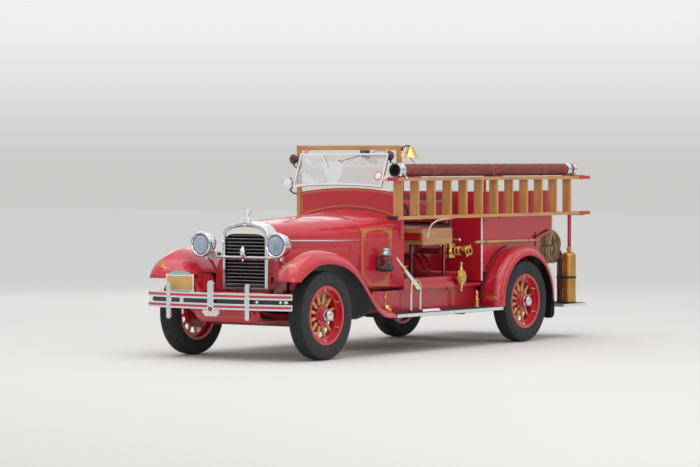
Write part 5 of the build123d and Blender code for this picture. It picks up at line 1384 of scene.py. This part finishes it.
@piece()
def hose_couplings(made):
    """Lugs, ribs and a bent catch at each end."""
    for t in turns(4, math.pi / 4):
        made.rod(on_hose(1.135, t, 0.062), on_hose(1.135, t, 0.077), 0.01, CHROME, sides=14)
    for distance in (1.162, 1.176, 1.196):
        made.ring(at(HOSE_X, distance, HOSE_Z), AFT, 0.0632, 0.0022, CHROME, sides=44, around=8)
    made.tube([at(0.8, 1.15, 1.665), at(0.806, 1.172, 1.632), at(0.808, 1.2, 1.592)], 0.007, CHROME, sides=12)
    made.ball(at(0.808, 1.203, 1.588), 0.012, CHROME)
    made.rod(at(0.786, 1.15, 1.668), at(0.806, 1.15, 1.668), 0.011, CHROME, sides=14)
    made.lathe([(0.0, HOSE_R + 0.0004), (0.004, 0.0605), (0.06, 0.0605), (0.064, HOSE_R + 0.0004)],
               at(HOSE_X, 4.078, HOSE_Z), AFT, CHROME, sides=48, closed=True)
    for distance in (4.083, 4.137, 4.186, 4.232):
        made.ring(at(HOSE_X, distance, HOSE_Z), AFT, 0.0608, 0.0028, CHROME, sides=44, around=8)
    made.tube([at(0.764, 4.206, 1.714), at(0.76, 4.254, 1.718), at(0.752, 4.3, 1.704)], 0.0075, CHROME,
              sides=12)
    made.ball(at(0.751, 4.308, 1.702), 0.014, CHROME)
    made.rod(at(0.756, 4.206, 1.702), at(0.766, 4.206, 1.724), 0.01, CHROME, sides=14)


@piece()
def ladder_ends(made):
    """Black and red boots over the rails' ends, and the heads of the tie rods."""
    for z, front in ((1.212, BLACK), (1.562, RED)):
        low, high = z - 0.0015, z + 0.0315
        made.box(at(0.7005, 1.0445, low), at(0.8035, 1.08, high), front, bevel=0.003)
        made.box(at(0.7005, 4.27, low), at(0.8035, 4.4815, high), RED, bevel=0.003)
    for k in range(12):
        distance = 1.15 + 0.2695 * k
        for z, way in ((1.2114, -1), (1.5926, 1)):
            for x in (0.725, 0.778):
                tack(made, at(x, distance, z), (0, 0, way), sides=12)


# Hose body, fenders and tail

BODY_X = 0.6003


def rivet(made, x, distance, z):
    """A bright round head on the body's side."""
    made.lathe(mm((0, 6), (2, 4.8), (3, 0)), at(x, distance, z), (math.copysign(1, x), 0, 0), CHROME,
               sides=12)


@piece()
def body_trim(made):
    """White strips with rivets up the corners, and the top edge's roll."""
    for way in (-1, 1):
        x = way * BODY_X
        made.box(at(x, 2.7795, 0.602), at(x + way * 0.003, 2.8055, 1.2), WHITE_TRIM, bevel=0.0008)
        made.box(at(x, 4.076, 1.06), at(x + way * 0.003, 4.102, 1.446), WHITE_TRIM, bevel=0.0008)
        made.tube([at(x * 0.999, 2.785, 1.4545), at(x * 0.999, 4.1, 1.4545)], 0.0065, WHITE_TRIM, sides=12)
        for k in range(9):
            rivet(made, x + way * 0.003, 2.7925, 0.63 + 0.068 * k)
        for k in range(6):
            rivet(made, x + way * 0.003, 4.089, 1.085 + 0.068 * k)
        for z in (0.7, 1.17):
            rivet(made, x, 2.83, z)
        made.box(at(x, 3.76, 0.9), at(x + way * 0.01, 3.846, 1.046), RED, bevel=0.002)
        start, end = at(x + way * 0.012, 3.73, 0.998), at(x + way * 0.012, 3.99, 1.062)
        made.rod(start, end, 0.0085, CHASSIS, sides=10)
    made.box(at(-0.598, 2.7755, 1.4495), at(0.598, 2.7885, 1.46), WHITE_TRIM, bevel=0.002)


@piece()
def pike_pole(made):
    """The pale pole along the body's side, in two dark clips."""
    made.rod(at(0.622, 2.661, 0.972), at(0.622, 3.787, 0.968), 0.0125, PALE_WOOD, end_radius=0.012, sides=18)
    for distance in (2.83, 3.6):
        made.ring(at(0.622, distance, 0.97), AFT, 0.0145, 0.0028, CHASSIS, sides=24, around=8)
        made.rod(at(0.6005, distance, 0.97), at(0.609, distance, 0.97), 0.007, CHASSIS, sides=12)
    made.lathe(mm((0, 13), (100, 14), (104, 10), (104, 0)), at(0.622, 3.69, 0.9685), AFT, OLD_BRASS, sides=18)


def rear_fender_line(made, x, radius, start, end, steps, thick, coat, sides):
    """A tube along each rear fender's arch, that far out."""
    for way in (-1, 1):
        points = [vec(way * x, p.y, p.z) for p in arc((0, aft(WHEELBASE), AXLE_Z), radius, start, end, steps)]
        made.tube(points, thick, coat, sides=sides)


@piece()
def fender_welting(made):
    """Black welting where the rear fenders meet the body; its black also stands as painted shade in that
    joint.
    """
    # Black welting, partly painted shade in the joint between fender and body.
    rear_fender_line(made, 0.6045, 0.5345, 176, 98, 30, 0.006, WELT, 10)


@piece()
def fender_gold_lines(made):
    """A thin gold line near each rear fender's lip."""
    rear_fender_line(made, 0.8215, 0.495, 172, 14, 50, 0.0016, GOLD, 6)


@piece()
def fender_curls(made):
    """A gold flourish on each front fender's nose and on each rear fender's foot."""
    front, rear = (skin_of(nodes[name]) for name in ("front_fenders", "rear_fenders"))
    for way in (-1, 1):
        for skin, place, out, along in ((front, at(way * 0.7, -0.475, 0.83), vec(way * 0.28, -0.66, 0.7),
                                         vec(way * 0.8, 0.55, 0.1)),
                                        (rear, at(way * 0.72, 2.785, 0.44), FORE, LEFT)):
            out, along = out.normalized(), along.normalized()
            across = out.cross(along).normalized()
            for turn in (-1, 1):
                for lean, size, sway in ((-1, 0.075, 0.22), (1, 0.075, 0.22), (1, 0.042, 0.4)):
                    stem = curl(place + out * 0.1, along * turn, across * lean, size, sway)
                    drape(made, skin, stem, -out, 0.0042, GOLD)


@piece()
def rope_hank(made):
    """A hank of rope at the body's rear corner."""
    middle = at(0.0, 4.245, 0.89)
    for turn in range(15):
        x = 0.428 + 0.0165 * (turn % 7) + 0.004 * math.sin(2.1 * turn)
        half_y = 0.118 + 0.009 * math.sin(1.7 * turn) - 0.013 * (turn // 7)
        half_z = 0.158 + 0.01 * math.sin(2.9 * turn + 1) - 0.014 * (turn // 7)
        points = []
        for t in turns(28):
            pinch = 1 - 0.3 * math.exp(-((math.sin(t) - 1) / 0.35) ** 2)
            points.append(vec(x + 0.007 * math.sin(3 * t + turn),
                              middle.y + half_y * math.cos(t) * pinch + 0.004 * math.sin(5 * t + turn),
                              middle.z + half_z * math.sin(t)))
        made.tube(points, 0.0072, ROPE, sides=8, loop=True)


@piece()
def rope_straps(made):
    """Two dark straps and the hook that hold the hank."""
    for place, axis, radius in ((at(0.48, 4.245, 1.04), AFT, 0.03), (at(0.48, 4.135, 0.9), UP, 0.06)):
        made.ring(place, axis, radius, 0.006, CHASSIS, sides=28)
    made.tube([at(0.48, 4.106, 1.075), at(0.48, 4.15, 1.078), at(0.48, 4.235, 1.072), at(0.48, 4.248, 1.05)],
              0.007, CHASSIS, sides=10)


@piece()
def tank_fittings(made):
    """A strap round both tanks, their valves and the small one's hose."""
    large, small = (0.69, 4.26), (0.583, 4.282)
    for place, radius in ((at(*large, 0.59), 0.0685), (at(*small, 0.59), 0.0405)):
        made.lathe([(-0.011, radius), (0.011, radius), (0.011, radius + 0.003), (-0.011, radius + 0.003)],
                   place, UP, CHASSIS, sides=36, closed=True)
    made.box(at(0.638, 4.352, 0.579), at(0.664, 4.3545, 0.601), CHASSIS)
    made.rod(at(0.65, 4.32, 0.59), at(0.645, 4.348, 0.59), 0.006, CHASSIS, sides=10)
    made.lathe(mm((0, 24), (12, 24), (14, 18), (30, 16), (32, 0)), at(*large, 0.862), UP, OLD_BRASS, sides=24)
    made.lathe(mm((0, 16), (18, 16), (22, 10), (30, 10), (30, 0)), at(*small, 0.806), UP, BLACK, sides=20)
    made.tube([at(*small, 0.832), at(0.59, 4.262, 0.85), at(0.604, 4.232, 0.846), at(0.606, 4.214, 0.81),
               at(0.604, 4.212, 0.72), at(0.602, 4.222, 0.6), at(0.604, 4.226, 0.45)], 0.007, BLACK, sides=10)


@piece()
def tail_parts(made):
    """A tail lamp under the body's right rear corner, and ribs on the tailboard."""
    lamp_place = at(-0.44, 4.116, 1.11)
    made.lathe(mm((0, 0), (0, 30), (30, 40), (52, 42)), lamp_place, AFT, BLACK, sides=28)
    made.lathe(mm((52, 40), (60, 34), (64, 0)), lamp_place, AFT, RED_GLASS, sides=28)
    for k in range(17):
        distance = 4.02 + 0.0265 * k
        made.box(at(-0.77, distance - 0.004, 0.3345), at(0.56, distance + 0.004, 0.3365), MAT)


# Floor, light and camera

CAMERA_PLACE = (15.9028, -21.2478, 1.754)
CAMERA_TURN = 35.0
CAMERA_DOWN = 1.4155
CAMERA_LENS = 153.826


def camera():
    data = bpy.data.cameras.new("camera")
    data.lens = CAMERA_LENS
    data.sensor_width = 36.0
    data.clip_end = 200.0
    made = bpy.data.objects.new("camera", data)
    made.location = (CAMERA_PLACE[0], AXLE_Y + CAMERA_PLACE[1], CAMERA_PLACE[2])
    made.rotation_euler = (math.radians(90 - CAMERA_DOWN), 0, math.radians(CAMERA_TURN))
    bpy.context.scene.collection.objects.link(made)
    bpy.context.scene.camera = made


def floor():
    data = bpy.data.meshes.new("floor")
    half = 60.0
    data.from_pydata([(-half, -half, 0), (half, -half, 0), (half, half, 0), (-half, half, 0)], [],
                     [(0, 1, 2, 3)])
    coat = bpy.data.materials.new("floor")
    coat.use_nodes = True
    set_inputs(coat.node_tree.nodes["Principled BSDF"],
               {"Base Color": (0.72, 0.7, 0.67, 1), "Roughness": 0.9, "Specular IOR Level": 0.1})
    data.materials.append(coat)
    made = bpy.data.objects.new("floor", data)
    bpy.context.scene.collection.objects.link(made)


def lamp(name, place, size, power, target=(0, 0, 0.8)):
    data = bpy.data.lights.new(name, "AREA")
    data.shape = "RECTANGLE"
    data.size, data.size_y = size
    data.energy = power
    made = bpy.data.objects.new(name, data)
    made.location = place
    made.rotation_euler = (Vector(target) - Vector(place)).to_track_quat("-Z", "Y").to_euler()
    bpy.context.scene.collection.objects.link(made)


def backdrop(tree, parts, stops):
    """A background whose colour changes with the height of the view above the horizon."""
    ramp = node(tree, "ValToRGB", {})
    while len(ramp.color_ramp.elements) < len(stops):
        ramp.color_ramp.elements.new(0.5)
    for element, (position, color) in zip(ramp.color_ramp.elements, stops):
        element.position = position
        element.color = (*color, 1)
    made = node(tree, "Background", {"Strength": 1.0})
    wire(parts, "Z", ramp, "Fac")
    wire(ramp, "Color", made, "Color")
    return made


def light():
    world = bpy.data.worlds.new("world")
    world.use_nodes = True
    tree = world.node_tree
    last = tree.nodes["Background"]
    set_inputs(last, {"Color": (0.86, 0.88, 0.9, 1), "Strength": 1.0})
    parts = node(tree, "SeparateXYZ", {})
    wire(node(tree, "TexCoord", {}), "Generated", parts, "Vector")
    seen = backdrop(tree, parts, ((0.0, (0.6, 0.595, 0.58)), (0.045, (0.86, 0.87, 0.88))))
    mirrored = backdrop(tree, parts, ((0.0, (0.34, 0.35, 0.36)), (0.12, (0.4, 0.42, 0.44)),
                                      (0.45, (0.9, 0.91, 0.93))))
    path = node(tree, "LightPath", {})
    for view, ray in ((mirrored, "Is Glossy Ray"), (seen, "Is Transmission Ray"), (seen, "Is Camera Ray")):
        mix = node(tree, "MixShader", {})
        wire(path, ray, mix, "Fac")
        wire(last, 0, mix, 1)
        wire(view, 0, mix, 2)
        last = mix
    wire(last, 0, tree.nodes["World Output"], "Surface")
    bpy.context.scene.world = world
    lamp("overhead", (2.0, -2.0, 9.0), (9.0, 9.0), 330)
    lamp("front_left", (9.0, -8.0, 5.0), (5.0, 5.0), 130)
    lamp("rear_fill", (-8.0, 8.0, 5.0), (6.0, 5.0), 80)


camera()
floor()
light()
bpy.context.scene.view_settings.view_transform = "Standard"
